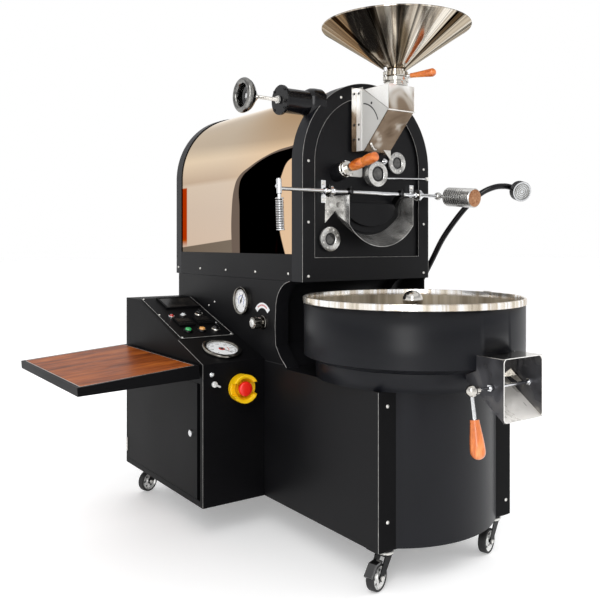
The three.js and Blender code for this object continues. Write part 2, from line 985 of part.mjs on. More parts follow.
function trayFloor() {
  const disc = rod('z', floorRadius, [floorBottomZ, floorTopZ], [0, 0], wideFacets);
  const shaftHoleSpan = [floorBottomZ - overrun, floorTopZ + overrun];
  const shaftHole = rod('z', agitator.shaftRadius + runningGap, shaftHoleSpan, [0, 0]);
  const openings = [];
  for (let ring = 0; ring < slots.rings; ring += 1) {
    const start = slots.firstRadius + ring * slots.pitch;
    for (let index = 0; index < slots.perRing; index += 1) {
      openings.push(block(
        [start, start + slots.reach],
        [-slots.width / 2, slots.width / 2],
        [floorBottomZ - overrun, floorTopZ + overrun],
      ).rotateZ((2 * Math.PI * (index + ring / 2)) / slots.perRing));
    }
  }
  return cut(disc, shaftHole, ...openings).translate(0, tray.centreY, 0);
}

function trayAgitator() {
  const columnZ = floorTopZ + agitator.floorGap;
  const start = THREE.MathUtils.radToDeg(Math.acos(agitator.columnRadius / agitator.ballRadius));
  const ball = arc([0, agitator.ballZ], agitator.ballRadius, -start, quarterTurn).slice(0, -1);
  const hub = turn('z', [
    [0, columnZ - agitator.shaftDepth],
    [agitator.shaftRadius, columnZ - agitator.shaftDepth],
    [agitator.shaftRadius, columnZ],
    [agitator.columnRadius, columnZ],
    ...ball,
    [0, agitator.ballZ + agitator.ballRadius],
  ], [0, 0, 0], smallFacets);
  const bladeHeight = agitator.armZ - columnZ;
  const lean = THREE.MathUtils.degToRad(agitator.bladeLean);
  const parts = [hub];
  for (let index = 0; index < agitator.arms; index += 1) {
    const angle = (2 * Math.PI * index) / agitator.arms + Math.PI / 2;
    const arm = block(
      [0, agitator.armReach],
      [-agitator.armHalfWidth, agitator.armHalfWidth],
      [agitator.armZ, agitator.armZ + agitator.armHeight],
    );
    const blade = block(
      [agitator.bladeStart, agitator.armReach],
      [-agitator.bladeSheet / 2, agitator.bladeSheet / 2],
      [-bladeHeight, agitator.armHeight / 2],
    ).rotateX(lean).translate(0, 0, agitator.armZ);
    parts.push(arm.rotateZ(angle), blade.rotateZ(angle));
  }
  return join(...parts).translate(0, tray.centreY, 0);
}

function trayGearmotor() {
  const topZ = floorBottomZ - seat;
  const barTopZ = topZ - trayDrive.headHeight;
  const barBottomZ = barTopZ - trayDrive.barDepth;
  const collarFlat = collarInner * Math.cos(Math.PI / wideFacets) - seat;
  const reach = Math.sqrt(collarFlat ** 2 - trayDrive.barHalfWidth ** 2);
  const solid = join(
    rod('z', trayDrive.headRadius, [barTopZ, topZ], [0, 0]),
    block([-reach, reach], [-trayDrive.barHalfWidth, trayDrive.barHalfWidth], [barBottomZ, barTopZ]),
    rod('z', trayDrive.motorRadius, [trayDrive.motorBottomZ, barBottomZ], [0, 0], roundFacets),
  );
  const boreDepth = floorTopZ + agitator.floorGap - agitator.shaftDepth - runningGap;
  const boreRadius = turningBore(agitator.shaftRadius, smallFacets);
  const bore = rod('z', boreRadius, [boreDepth, topZ + overrun], [0, 0]);
  return cut(solid, bore).translate(0, tray.centreY, 0);
}

// The blower duct's width and height, grown or shrunk by an amount
function ductSection(grow) {
  const outer = blower.scrollRadius;
  return [
    [outer - blower.ductWidth - grow, outer + grow],
    [blower.scrollBottomZ - grow, blower.scrollTopZ + grow],
  ];
}

function coolingBlower() {
  const place = [0, blower.inletY];
  const { ductWall } = blower;
  const [ductX, ductZ] = ductSection(0);
  const [boreX, boreZ] = ductSection(-ductWall);
  const flangeTop = base.topZ - sheet - seat;
  const ductEnd = baseRear - sheet - seat;
  const solid = join(
    rod('z', blower.scrollRadius, ductZ, place, roundFacets),
    block(ductX, [blower.inletY, ductEnd], ductZ),
    rod('z', neckRadius, [blower.scrollTopZ, collarBottomZ - seat], place, roundFacets),
    rod('z', blower.flangeRadius, [flangeTop - sheet, flangeTop], place, roundFacets),
    rod('z', blower.motorRadius, [blower.motorBottomZ, blower.scrollBottomZ], place, roundFacets),
  );
  return cut(
    solid,
    rod('z', blower.scrollRadius - ductWall, boreZ, place, roundFacets),
    block(boreX, [blower.inletY, ductEnd + overrun], boreZ),
    rod('z', blower.inletRadius, [boreZ[1] - ductWall, collarBottomZ + overrun], place, roundFacets),
  );
}

// Tray chute and flap

function trayChute() {
  const inner = chute.halfWidth - thinSheet;
  const collarY = tray.centreY - tray.collarRadius;
  const backY = collarY + 2 * overrun;
  const slope = (chute.backLowZ - chute.bottomZ) / (collarY - chute.mouthY);
  const backZ = chute.bottomZ + slope * (backY - chute.mouthY);
  const outline = [
    [backY, chute.topZ],
    ...arc([chute.mouthY + chute.corner, chute.topZ - chute.corner], chute.corner, quarterTurn, halfTurn),
    [chute.mouthY, chute.bottomZ],
    [backY, backZ],
  ];
  const hollow = [
    [backY + overrun, chute.topZ + overrun],
    [chute.mouthY - overrun, chute.topZ + overrun],
    [chute.mouthY - overrun, chute.bottomZ + thinSheet - slope * overrun],
    [backY + overrun, backZ + thinSheet + slope * overrun],
  ];
  const envelope = turn('z', [
    [0, chute.bottomZ - overrun],
    [tray.collarRadius + seat, chute.bottomZ - overrun],
    [tray.collarRadius + seat, tray.bandBottomZ - tray.coneDrop - sheet],
    [tray.bandRadius + seat, tray.bandBottomZ - sheet],
    [tray.bandRadius + seat, tray.topZ],
    [0, tray.topZ],
  ], [0, tray.centreY, 0], wideFacets);
  const shaftHole = rod(
    'x',
    turningBore(flap.shaftRadius, pinFacets),
    [-chute.halfWidth - overrun, chute.halfWidth + overrun],
    [flap.shaftY, flap.shaftZ],
    pinFacets,
  );
  const trough = cut(
    prismX(outline, [-chute.halfWidth, chute.halfWidth]),
    prismX(hollow, [-inner, inner]),
  );
  return cut(trough, envelope, shaftHole);
}

// Places a form made hanging down its own z axis on the lever of the flap
const leverPlace = new THREE.Matrix4()
  .makeTranslation(flap.hubX, flap.shaftY, flap.shaftZ)
  .multiply(new THREE.Matrix4().makeRotationX(THREE.MathUtils.degToRad(-flap.leverLean)));

function chuteFlap() {
  const plateFront = flap.plateY - thinSheet;
  const plate = block(
    [-flap.plateHalfWidth, flap.plateHalfWidth],
    [plateFront, flap.plateY],
    [flap.plateBottomZ, flap.plateTopZ],
  );
  const arms = [-flap.armX, flap.armX].map((x) => prismX([
    [flap.shaftY - flap.shaftRadius, flap.shaftZ],
    [flap.shaftY, flap.shaftZ - flap.shaftRadius],
    [plateFront + thinSheet / 2, flap.plateBottomZ],
    [plateFront + thinSheet / 2, flap.plateBottomZ + flap.armHeight],
    [flap.shaftY, flap.shaftZ + flap.shaftRadius],
  ], [x - flap.armHalfWidth, x + flap.armHalfWidth]));
  const shaft = rod(
    'x',
    flap.shaftRadius,
    [flap.hubX, chute.halfWidth + flap.shaftRadius],
    [flap.shaftY, flap.shaftZ],
    pinFacets,
  );
  const hub = new THREE.SphereGeometry(flap.hubRadius, smallFacets, pinFacets)
    .translate(flap.hubX, flap.shaftY, flap.shaftZ);
  const lever = rod('z', flap.leverRadius, [-flap.gripStart - flap.gripBore, 0], [0, 0], pinFacets);
  return join(plate, ...arms, shaft, hub, lever.applyMatrix4(leverPlace));
}

function chuteGrip() {
  const top = -flap.gripStart;
  const bottom = top - flap.gripLength;
  const bore = flap.leverRadius + seat;
  const bellyZ = bottom + flap.gripBelly;
  return turn('z', [
    [0, top - flap.gripBore - seat],
    [bore, top - flap.gripBore - seat],
    [bore, top],
    [flap.gripNeck, top],
    ...arc([0, bellyZ], flap.gripBelly, 0, -quarterTurn).slice(0, -1),
    [0, bottom],
  ], [0, 0, 0], smallFacets).applyMatrix4(leverPlace);
}

// Hopper and feed

function hopperCone() {
  const { neckBore, rimBead } = hopper;
  const beadZ = hopper.rimZ - rimBead;
  const beadRadius = hopper.rimRadius - rimBead;
  return cut(turn('z', [
    [neckBore, inlet.topZ + seat],
    [hopper.footRadius, inlet.topZ + seat],
    [hopper.neckRadius, inlet.topZ + seat + hopper.footSheet],
    [hopper.neckRadius, hopper.collarBottomZ],
    [hopper.collarRadius, hopper.collarBottomZ],
    [hopper.collarRadius, hopper.collarTopZ],
    [hopper.neckRadius, hopper.collarTopZ],
    [hopper.neckRadius, hopper.coneBottomZ],
    [beadRadius, beadZ - rimBead],
    ...arc([beadRadius, beadZ], rimBead, -quarterTurn, quarterTurn, pinFacets / 4),
    [beadRadius - thinSheet, hopper.rimZ],
    [beadRadius - thinSheet, beadZ - rimBead + thinSheet],
    [neckBore, hopper.coneBottomZ + thinSheet],
  ], [0, 0, 0], wideFacets), gateSlot()).translate(0, hopper.y, 0);
}

// The gate lies in a frame whose x axis is its sliding direction
const gateTurn = THREE.MathUtils.degToRad(gate.angle - quarterTurn);

function gateSlot() {
  const radius = gate.radius + seat;
  const z = [gate.centreZ - gate.sheet / 2 - seat, gate.centreZ + gate.sheet / 2 + seat];
  return join(
    rod('z', radius, z, [0, 0], roundFacets),
    block([0, hopper.collarRadius + overrun], [-radius, radius], z).rotateZ(gateTurn),
  );
}

function feedGate() {
  const z = [gate.centreZ - gate.sheet / 2, gate.centreZ + gate.sheet / 2];
  const gripEnd = gate.gripStart + gate.gripLength;
  const bellyX = gripEnd - gate.gripBelly;
  return join(
    rod('z', gate.radius, z, [0, 0], roundFacets),
    block([0, gate.reach], [-gate.radius, gate.radius], z).rotateZ(gateTurn),
    rod('x', gate.rodRadius, [gate.reach - gate.rodRadius, bellyX], [0, gate.centreZ], pinFacets)
      .rotateZ(gateTurn),
    turn('x', [
      [0, gate.gripStart],
      [gate.gripNeck, gate.gripStart],
      ...arc([0, bellyX], gate.gripBelly, 0, quarterTurn).slice(0, -1),
      [0, gripEnd],
    ], [0, 0, gate.centreZ], smallFacets).rotateZ(gateTurn),
  ).translate(0, hopper.y, 0);
}

function inletChute() {
  const back = -seat;
  const inner = inlet.halfWidth - thinSheet;
  const boxOutline = [
    [back, inlet.topZ],
    [inlet.frontY, inlet.topZ],
    [inlet.frontY, inlet.noseZ],
    [inlet.heelY, inlet.heelZ],
    [back, inlet.heelZ],
  ];
  const hollowOutline = [
    [back + overrun, inlet.topZ - thinSheet],
    [inlet.frontY + thinSheet, inlet.topZ - thinSheet],
    [inlet.frontY + thinSheet, inlet.noseZ + thinSheet / 2],
    [inlet.heelY + thinSheet / 2, inlet.heelZ + thinSheet],
    [back + overrun, inlet.heelZ + thinSheet],
  ];
  const spoutHalfWidth = inlet.feedHalfWidth + thinSheet;
  const spout = block(
    [-spoutHalfWidth, spoutHalfWidth],
    [back - thinSheet, faceFront],
    [inlet.feedBottomZ - thinSheet, inlet.feedTopZ + thinSheet],
  );
  const spoutBore = block(
    [-inlet.feedHalfWidth, inlet.feedHalfWidth],
    [back - overrun, faceFront + overrun],
    [inlet.feedBottomZ, inlet.feedTopZ],
  );
  const backWall = block([-inner, inner], [back - thinSheet, back], [inlet.heelZ + thinSheet, inlet.topZ]);
  const flange = block(
    [-inlet.flangeHalfWidth, inlet.flangeHalfWidth],
    [back - thinSheet, back],
    [inlet.heelZ, inlet.flangeTopZ],
  );
  const strips = [-inlet.halfWidth - thinSheet / 2, inlet.halfWidth + thinSheet / 2].map((x) => block(
    [x - thinSheet / 2, x + thinSheet / 2],
    [-inlet.stripDepth, back],
    [inlet.heelZ, inlet.flangeTopZ],
  ));
  const hole = rod('z', inlet.holeRadius, [inlet.topZ - overrun, inlet.topZ + overrun], [0, hopper.y]);
  const box = cut(
    prismX(boxOutline, [-inlet.halfWidth, inlet.halfWidth]),
    prismX(hollowOutline, [-inner, inner]),
    hole,
  );
  return cut(join(box, backWall, flange, ...strips, spout), spoutBore);
}

// Discharge door

function bearingBlock(x) {
  const footBack = faceFront;
  const footFront = footBack - gear.lugDepth;
  const reach = gear.lugSpacing / 2;
  const solid = join(
    rod(
      'x', gear.ringRadius, [x - gear.ringWidth / 2, x + gear.ringWidth / 2],
      [gear.shaftY, gear.shaftZ], roundFacets,
    ),
    block(
      [x - gear.ringWidth / 2, x + gear.ringWidth / 2],
      [gear.shaftY, footFront + sheet],
      [gear.shaftZ - gear.lugHalfHeight, gear.shaftZ + gear.lugHalfHeight],
    ),
    block(
      [x - gear.lugHalfWidth, x + gear.lugHalfWidth],
      [footFront, footBack],
      [gear.shaftZ - reach - gear.lugHalfHeight, gear.shaftZ + reach + gear.lugHalfHeight],
    ),
  );
  const span = [x - gear.lugHalfWidth - overrun, x + gear.lugHalfWidth + overrun];
  const bore = turningBore(gear.shaftRadius, smallFacets);
  return cut(solid, rod('x', bore, span, [gear.shaftY, gear.shaftZ]));
}

// The handle leans forward about the door shaft
function leaned(geometry) {
  return geometry
    .translate(0, -gear.shaftY, -gear.shaftZ)
    .rotateX(THREE.MathUtils.degToRad(-handle.lean))
    .translate(0, gear.shaftY, gear.shaftZ);
}

function doorShaft() {
  const place = [handleX, gear.shaftY];
  const collar = (z) => rod('z', handle.collarRadius, [z, z + handle.collarHeight], place);
  return join(
    rod('x', gear.shaftRadius, [handleX, shaftRight], [gear.shaftY, gear.shaftZ]),
    leaned(rod('z', handle.coreRadius, [handle.bottomZ, handle.topZ], place)),
    leaned(rod('z', handle.headRadius, [handle.topZ - handle.headLength, handle.topZ], place)),
    leaned(collar(handle.bottomZ)),
    leaned(collar(handle.springTopZ)),
  );
}

// Points along the handle's spring: straight ends square to the collars, and turns between
function springPath() {
  const top = handle.springTopZ - seat;
  const bottom = handle.bottomZ + handle.collarHeight + seat;
  const wire = 2 * handle.wireRadius;
  const perTurn = 8;
  const count = handle.turns * perTurn;
  const at = (index, z) => {
    const angle = (2 * Math.PI * index) / perTurn;
    const { coilRadius } = handle;
    return new THREE.Vector3(
      handleX + coilRadius * Math.cos(angle),
      gear.shaftY + coilRadius * Math.sin(angle),
      z,
    );
  };
  const path = [at(0, top)];
  for (let index = 0; index <= count; index += 1) {
    path.push(at(index, top - wire - ((top - bottom - 2 * wire) * index) / count));
  }
  path.push(at(count, bottom));
  return path;
}

function printSpringGap(path) {
  const apart = 5;
  let least = Infinity;
  for (let i = 0; i < path.length; i += 1) {
    for (let j = i + apart; j < path.length; j += 1) {
      least = Math.min(least, path[i].distanceTo(path[j]) - 2 * handle.wireRadius);
    }
  }
  console.log(`spring handle: least gap between turns ${least.toFixed(2)} mm`);
}

function springHandle() {
  const path = springPath();
  printSpringGap(path);
  const sides = 5;
  const axis = new THREE.Vector3(handleX, gear.shaftY, 0);
  const points = [];
  const corners = [];
  path.forEach((point, index) => {
    const before = path[Math.max(index - 1, 0)];
    const after = path[Math.min(index + 1, path.length - 1)];
    const along = after.clone().sub(before).normalize();
    const out = point.clone().sub(axis).setZ(0).normalize();
    const across = along.clone().cross(out).normalize();
    for (let side = 0; side < sides; side += 1) {
      const angle = (2 * Math.PI * side) / sides;
      const corner = point.clone()
        .addScaledVector(out, handle.wireRadius * Math.cos(angle))
        .addScaledVector(across, handle.wireRadius * Math.sin(angle));
      points.push(...corner.toArray());
    }
  });
  for (let ring = 0; ring < path.length - 1; ring += 1) {
    for (let side = 0; side < sides; side += 1) {
      const [a, b] = [ring * sides + side, ring * sides + ((side + 1) % sides)];
      corners.push(a, b, a + sides, b, b + sides, a + sides);
    }
  }
  const last = (path.length - 1) * sides;
  for (let side = 1; side < sides - 1; side += 1) {
    corners.push(0, side + 1, side);
    corners.push(last, last + side, last + side + 1);
  }
  const tube = new THREE.BufferGeometry();
  tube.setAttribute('position', new THREE.Float32BufferAttribute(points, 3));
  tube.setIndex(corners);
  return leaned(tube);
}

function dischargeDoor() {
  const rimFront = faceFront - door.rimSheet;
  const { panelInset } = door;
  const rimOutline = tubOutline(doorHalfWidth, door.topZ, door.bottomZ, door.arcRadius);
  const rim = prismY(rimOutline, [rimFront, faceFront]);
  const raised = prismY(
    tubOutline(
      doorHalfWidth - panelInset,
      door.topZ - panelInset / 2,
      door.bottomZ + panelInset,
      door.arcRadius - panelInset,
    ),
    [rimFront - door.panelProud, rimFront + door.rimSheet / 2],
  );
  const arms = [-doorArmX, doorArmX].map((x) => {
    const span = [x - door.armWidth / 2, x + door.armWidth / 2];
    return join(
      rod('x', door.collarRadius, span, [gear.shaftY, gear.shaftZ]),
      prismX([
        [gear.shaftY - door.collarRadius / 2, gear.shaftZ],
        [gear.shaftY, gear.shaftZ - door.collarRadius],
        [rimFront + door.rimSheet / 2, door.armFootZ],
        [rimFront + door.rimSheet / 2, door.topZ],
        [gear.shaftY + door.collarRadius / 2, gear.shaftZ + door.collarRadius / 2],
      ], span),
    );
  });
  const reach = doorHalfWidth + overrun;
  const bore = rod('x', gear.shaftRadius + seat, [-reach, reach], [gear.shaftY, gear.shaftZ]);
  return cut(join(rim, raised, ...arms), bore);
}

function counterweight() {
  const length = weight.endReach - weight.startReach;
  const pitch = (length * weight.grooveShare) / weight.grooves;
  const deep = weight.radius - weight.grooveDepth;
  const profile = [[0, weight.startReach], [weight.radius - weight.edge, weight.startReach]];
  profile.push([weight.radius, weight.startReach + weight.edge]);
  for (let index = 0; index < weight.grooves; index += 1) {
    const start = weight.startReach + weight.edge + (index + 1 / 2) * pitch;
    profile.push([weight.radius, start], [deep, start + pitch / 4], [weight.radius, start + pitch / 2]);
  }
  profile.push([weight.radius, weight.endReach - weight.edge]);
  profile.push([weight.radius - weight.edge, weight.endReach], [0, weight.endReach]);
  const x = shaftRight + seat + weight.hubRadius;
  const hub = new THREE.SphereGeometry(weight.hubRadius, smallFacets, pinFacets);
  const solid = join(
    turn('y', profile, [0, 0, 0], roundFacets),
    rod('y', weight.armRadius, [0, weight.startReach + weight.edge], [0, 0]),
    hub,
  );
  const reach = [-overrun, overrun];
  const socket = block([-weight.hubRadius - seat, -weight.hubRadius / 2], reach, reach);
  const mesh = meshOf('counterweight', cut(solid, socket), 'chrome');
  mesh.position.set(x - weight.hubRadius / 2, gear.shaftY, gear.shaftZ);
  mesh.rotation.x = Math.PI + THREE.MathUtils.degToRad(weight.droop);
  return mesh;
}

function outletTrough() {
  const span = [trough.mouthY, faceFront];
  const wide = [trough.mouthY - overrun, faceFront + overrun];
  const above = trough.cheekTopZ + overrun;
  const outer = prismY(tubOutline(troughHalfWidth, above, trough.bottomZ, trough.arcRadius), span);
  const inner = prismY(tubOutline(
    troughHalfWidth - thinSheet,
    above + overrun,
    trough.bottomZ + thinSheet,
    trough.arcRadius - thinSheet,
  ), wide);
  const shear = new THREE.Matrix4().set(
    1, 0, 0, 0,
    0, 1, 0, 0,
    0, trough.slope, 1, -trough.slope * trough.mouthY,
    0, 0, 0, 1,
  );
  const channel = cut(
    outer.applyMatrix4(shear),
    inner.applyMatrix4(shear),
    block(
      [-body.halfWidth, body.halfWidth],
      [span[0] - overrun, span[1] + overrun],
      [trough.cheekTopZ, body.archCentreZ],
    ),
  );
  const ears = [-1, 1].map((side) => prismY([
    [side * (troughHalfWidth - thinSheet / 2), trough.cheekTopZ],
    [side * (troughHalfWidth + trough.earWidth), trough.cheekTopZ],
    [side * (troughHalfWidth + trough.earWidth), trough.earLowZ],
    [side * (troughHalfWidth - thinSheet / 2), trough.earHighZ],
  ], [faceFront - thinSheet, faceFront]));
  return join(channel, ...ears);
}

// Face fittings

function sightGlass({ x, z, radius, proud, glass, rimDepth, barrel }) {
  const back = faceFront;
  const front = body.faceRecess - proud;
  return turn('y', [
    [0, front + glassDepth],
    [glass, front + glassDepth],
    [glass, front],
    [radius, front],
    [radius, front + rimDepth],
    [barrel, front + rimDepth],
    [barrel, back],
    [0, back],
  ], [x, 0, z]);
}

function trierBush() {
  const collarEnd = trier.bossLength + seat + trier.collarLength;
  return turn('z', [
    [trier.tubeRadius + seat, -trier.bossRadius / 2],
    [trier.bushRadius, -trier.bossRadius / 2],
    [trier.bushRadius, trier.bossLength + seat],
    [trier.collarRadius, trier.bossLength + seat],
    [trier.collarRadius, collarEnd],
    [trier.tubeRadius + seat, collarEnd],
  ], [0, 0, 0], roundFacets).applyMatrix4(trierSlant);
}

function trierSpoon() {
  const collarEnd = trier.bossLength + seat + trier.collarLength;
  const ferruleEnd = collarEnd + seat + trier.ferruleLength;
  const scoopSpan = [-trier.insideLength + trier.scoopWall, -trier.bossRadius];
  const tubeSpan = [-trier.insideLength, collarEnd + seat + trier.scoopWall];
  const tube = rod('z', trier.tubeRadius, tubeSpan, [0, 0]);
  const ferrule = rod('z', trier.ferruleRadius, [collarEnd + seat, ferruleEnd], [0, 0]);
  const scoop = rod('z', trier.tubeRadius - trier.scoopWall, scoopSpan, [0, 0]);
  const openTop = block(
    [-trier.tubeRadius - overrun, trier.tubeRadius + overrun],
    [0, trier.tubeRadius + overrun],
    scoopSpan,
  );
  const slant = (shape) => shape.applyMatrix4(trierSlant);
  return cut(join(slant(tube), slant(ferrule)), slant(scoop), slant(openTop));
}

function trierGrip() {
  const start = trier.bossLength + trier.collarLength + trier.ferruleLength + 3 * seat;
  const { gripRadius, gripWaist, gripLength } = trier;
  const steps = smallFacets;
  const profile = [[0, start], [gripRadius * Math.SQRT1_2, start]];
  // Two bulbs with a waist between them
  for (let i = 1; i < steps; i += 1) {
    const share = i / steps;
    const swell = Math.abs(Math.sin(2 * Math.PI * share)) ** (1 / 2);
    profile.push([gripWaist + (gripRadius - gripWaist) * swell, start + gripLength * share]);
  }
  profile.push([gripWaist, start + gripLength], [0, start + gripLength]);
  return turn('z', profile, [0, 0, 0], smallFacets).applyMatrix4(trierSlant);
}

// Exhaust stub and damper

function exhaustTube() {
  const centre = [exhaust.y, exhaust.z];
  const flangeInside = leftOf(exhaust.flangeOut) + exhaust.flangeDepth;
  const bore = exhaust.radius - exhaust.wall;
  const inside = -body.halfWidth / 2;
  const tube = cut(
    join(
      rod('x', exhaust.radius, [leftOf(exhaust.flangeOut), inside], centre, roundFacets),
      rod('x', exhaust.flangeRadius, [leftOf(exhaust.flangeOut), flangeInside], centre, roundFacets),
      common(
        rod('x', exhaust.saddleRadius, [-body.halfWidth - overrun, inside], centre, roundFacets),
        prismY(archOutline(body.halfWidth + sheet, body.bottomZ), [seat, body.depth]),
      ),
    ),
    prismY(archOutline(body.halfWidth + seat, body.bottomZ - overrun), [-overrun, body.depth]),
  );
  return cut(
    tube,
    rod('x', bore, [flangeInside, inside + overrun], centre, roundFacets),
    rod(
      'x', exhaust.stemRadius + seat,
      [leftOf(exhaust.flangeOut) - overrun, flangeInside + overrun], centre,
    ),
  );
}

function damperStem() {
  const centre = [exhaust.y, exhaust.z];
  return join(
    rod('x', exhaust.stemRadius, [leftOf(exhaust.stemOut), leftOf(exhaust.discOut)], centre),
    rod(
      'x', exhaust.discRadius,
      [leftOf(exhaust.discOut), leftOf(exhaust.discOut) + exhaust.discSheet], centre, roundFacets,
    ),
  );
}

// A dished wheel, open to the outside, with its hub round the stem
function damperHandwheel() {
  const { wheelRadius, wheelHubRadius, wheelWall } = exhaust;
  const depth = leftOf(exhaust.wheelFaceOut) - leftOf(exhaust.wheelBackOut);
  const hubEnd = leftOf(exhaust.stemOut) - leftOf(exhaust.wheelBackOut);
  return turn('x', [
    [exhaust.stemRadius + seat, 0],
    [wheelHubRadius, 0],
    [wheelRadius - wheelWall, depth / 2],
    [wheelRadius, depth - depth / 4],
    [wheelRadius, depth],
    [wheelRadius - wheelWall, depth],
    [wheelRadius - 2 * wheelWall, depth / 2 - wheelWall],
    [wheelHubRadius, -2 * wheelWall],
    [wheelHubRadius, hubEnd - wheelWall],
    [0, hubEnd - wheelWall],
    [0, hubEnd - seat],
    [exhaust.stemRadius + seat, hubEnd - seat],
  ], [leftOf(exhaust.wheelBackOut), exhaust.y, exhaust.z]);
}

function gooseneckLamp() {
  const route = lampRoute;
  const neck = sweep(route, lamp.neckRadius, pinFacets, roundFacets);
  const foot = rod(
    'x',
    lamp.footRadius,
    [body.halfWidth + seat, body.halfWidth + lamp.footDepth],
    [route[0][1], route[0][2]],
  );
  const face = new THREE.Vector3(body.halfWidth + lampFace.out, lampFace.y, lampFace.z);
  const aim = face.clone().sub(new THREE.Vector3(...route[route.length - 1])).normalize();
  const turnTo = new THREE.Quaternion().setFromUnitVectors(unitZ, aim);
  const place = new THREE.Matrix4().compose(face, turnTo, new THREE.Vector3(1, 1, 1));
  const { headRadius, headBack, headLength, lensDepth } = lamp;
  const head = turn('z', [
    [0, -headLength],
    [headBack, -headLength],
    [headRadius, -headLength / 2],
    [headRadius, 0],
    [headRadius - lensDepth / 2, 0],
    [headRadius - lensDepth, -lensDepth],
    [0, -lensDepth],
  ], [0, 0, 0], smallFacets);
  return join(foot, neck, head.applyMatrix4(place));
}

// Cabinet

// Distances up the console's slope and out from it, turned into the machine's y and z
const slopePlace = new THREE.Matrix4()
  .makeTranslation(0, cabinet.frontY, cabinet.slopeFootZ)
  .multiply(new THREE.Matrix4().makeRotationX(consoleSlope));
const alongSlope = (y) => (y - cabinet.frontY) / Math.cos(consoleSlope);
const onSlope = (shape) => shape.applyMatrix4(slopePlace);

function cabinetOutline(inset) {
  const foot = inset * Math.tan((Math.PI / 2 - consoleSlope) / 2);
  const top = inset * Math.tan(consoleSlope / 2);
  return [
    [cabinet.frontY + inset, base.bottomZ + inset],
    [cabinet.frontY + inset, cabinet.slopeFootZ - foot],
    [cabinet.slopeTopY + top, cabinet.topZ - inset],
    [cabinet.rearY - inset, cabinet.topZ - inset],
    [cabinet.rearY - inset, base.bottomZ + inset],
  ];
}

function consoleWindow() {
  return block(
    [panel.leftX + panel.edge, panel.rightX - panel.edge],
    [alongSlope(panel.lowY) + panel.edge, alongSlope(panel.highY) - panel.edge],
    [-overrun, overrun],
  );
}

function cabinetShell() {
  const { wall } = cabinet;
  const shell = cut(
    prismX(cabinetOutline(0), [cabinetLeft, 0]),
    prismX(cabinetOutline(wall), [cabinetLeft + wall, -wall]),
  );
  const doorway = block(
    [cabinetLeft - overrun, cabinetLeft + overrun],
    [cabinet.frontY + cabinet.postWidth, cabinet.doorRearY + runningGap],
    [cabinet.doorBottomZ - runningGap, cabinet.doorTopZ + runningGap],
  );
  const stopHole = rod(
    'y',
    estop.stemRadius + seat,
    [cabinet.frontY - overrun, cabinet.frontY + overrun],
    [estop.x, estop.z],
    roundFacets,
  );
  const dialHole = onSlope(rod(
    'z',
    thermometer.dial / 2,
    [-overrun, overrun],
    [thermometer.x, alongSlope(thermometer.y)],
    roundFacets,
  ));
  return join(
    cut(shell, doorway, stopHole, dialHole, onSlope(consoleWindow())),
    casterPlate([caster.cabinetX, cabinet.rearY - caster.cabinetRearInset]),
  );
}

function bezel({ x, y, halfWidth, halfHeight, rim = 0, recess = 0 }) {
  const centre = alongSlope(y);
  const top = panel.sheet + panel.bezelProud;
  const outside = block(
    [x - halfWidth, x + halfWidth],
    [centre - halfHeight, centre + halfHeight],
    [panel.sheet / 2, top],
  );
  if (!rim) return outside;
  return cut(outside, block(
    [x - halfWidth + rim, x + halfWidth - rim],
    [centre - halfHeight + rim, centre + halfHeight - rim],
    [top - recess, top + overrun],
  ));
}

function consolePlate() {
  const plate = block(
    [panel.leftX, panel.rightX],
    [alongSlope(panel.lowY), alongSlope(panel.highY)],
    [seat, panel.sheet],
  );
  const tops = [greenButton, amberButton, selector];
  const collars = tops.map(({ x, y }) => rod(
    'z',
    panel.collarRadius,
    [panel.sheet / 2, panel.sheet + panel.collarHeight],
    [x, alongSlope(y)],
  ));
  const holes = tops.map(({ x, y }) => rod(
    'z',
    turningBore(panel.buttonRadius, smallFacets),
    [-overrun, panel.sheet + overrun],
    [x, alongSlope(y)],
  ));
  const bezels = [display, controllers.left, controllers.right].map(bezel);
  const solids = [plate, ...collars, ...bezels]
    .map((shape) => (shape.isBufferGeometry ? asSolid(shape) : shape));
  return cut(join(...solids), ...holes);
}

function slopeMesh(name, solid, finish) {
  const mesh = meshOf(name, solid, finish);
  mesh.applyMatrix4(slopePlace);
  return mesh;
}

function pushButton({ x, y }) {
  const top = panel.sheet + panel.buttonProud;
  return rod('z', panel.buttonRadius, [-panel.buttonDepth, top], [x, alongSlope(y)]);
}

function selectorSwitch() {
  const collarTop = panel.sheet + panel.collarHeight;
  const place = [selector.x, alongSlope(selector.y)];
  return join(
    rod('z', panel.buttonRadius, [-panel.buttonDepth, collarTop + selector.skirt], place),
    rod('z', selector.radius, [collarTop + runningGap, collarTop + selector.skirt], place),
    block(
      [selector.x - selector.barHalfWidth, selector.x + selector.barHalfWidth],
      [place[1] - selector.barLength / 2, place[1] + selector.barLength / 2],
      [collarTop + selector.skirt / 2, collarTop + selector.proud],
    ),
  );
}

function dialThermometer() {
  const { radius, dial, proud, rim, recess } = thermometer;
  return turn('z', [
    [0, seat],
    [radius - rim, seat],
    [radius, rim],
    [radius, proud - rim],
    [radius - rim, proud],
    [dial, proud],
    [dial, proud - recess],
    [0, proud - recess],
  ], [thermometer.x, alongSlope(thermometer.y), 0]);
}

function cabinetDoor() {
  const outside = [cabinetLeft, cabinetLeft + sheet];
  const lip = [cabinetLeft, cabinetLeft + cabinet.doorLip];
  const y = [cabinet.doorFrontY, cabinet.doorRearY];
  const z = [cabinet.doorBottomZ, cabinet.doorTopZ];
  const pan = block(lip, y, z);
  return cut(pan, block(
    [outside[1], lip[1] + overrun],
    [y[0] + sheet, y[1] - sheet],
    [z[0] + sheet, z[1] - sheet],
  ));
}

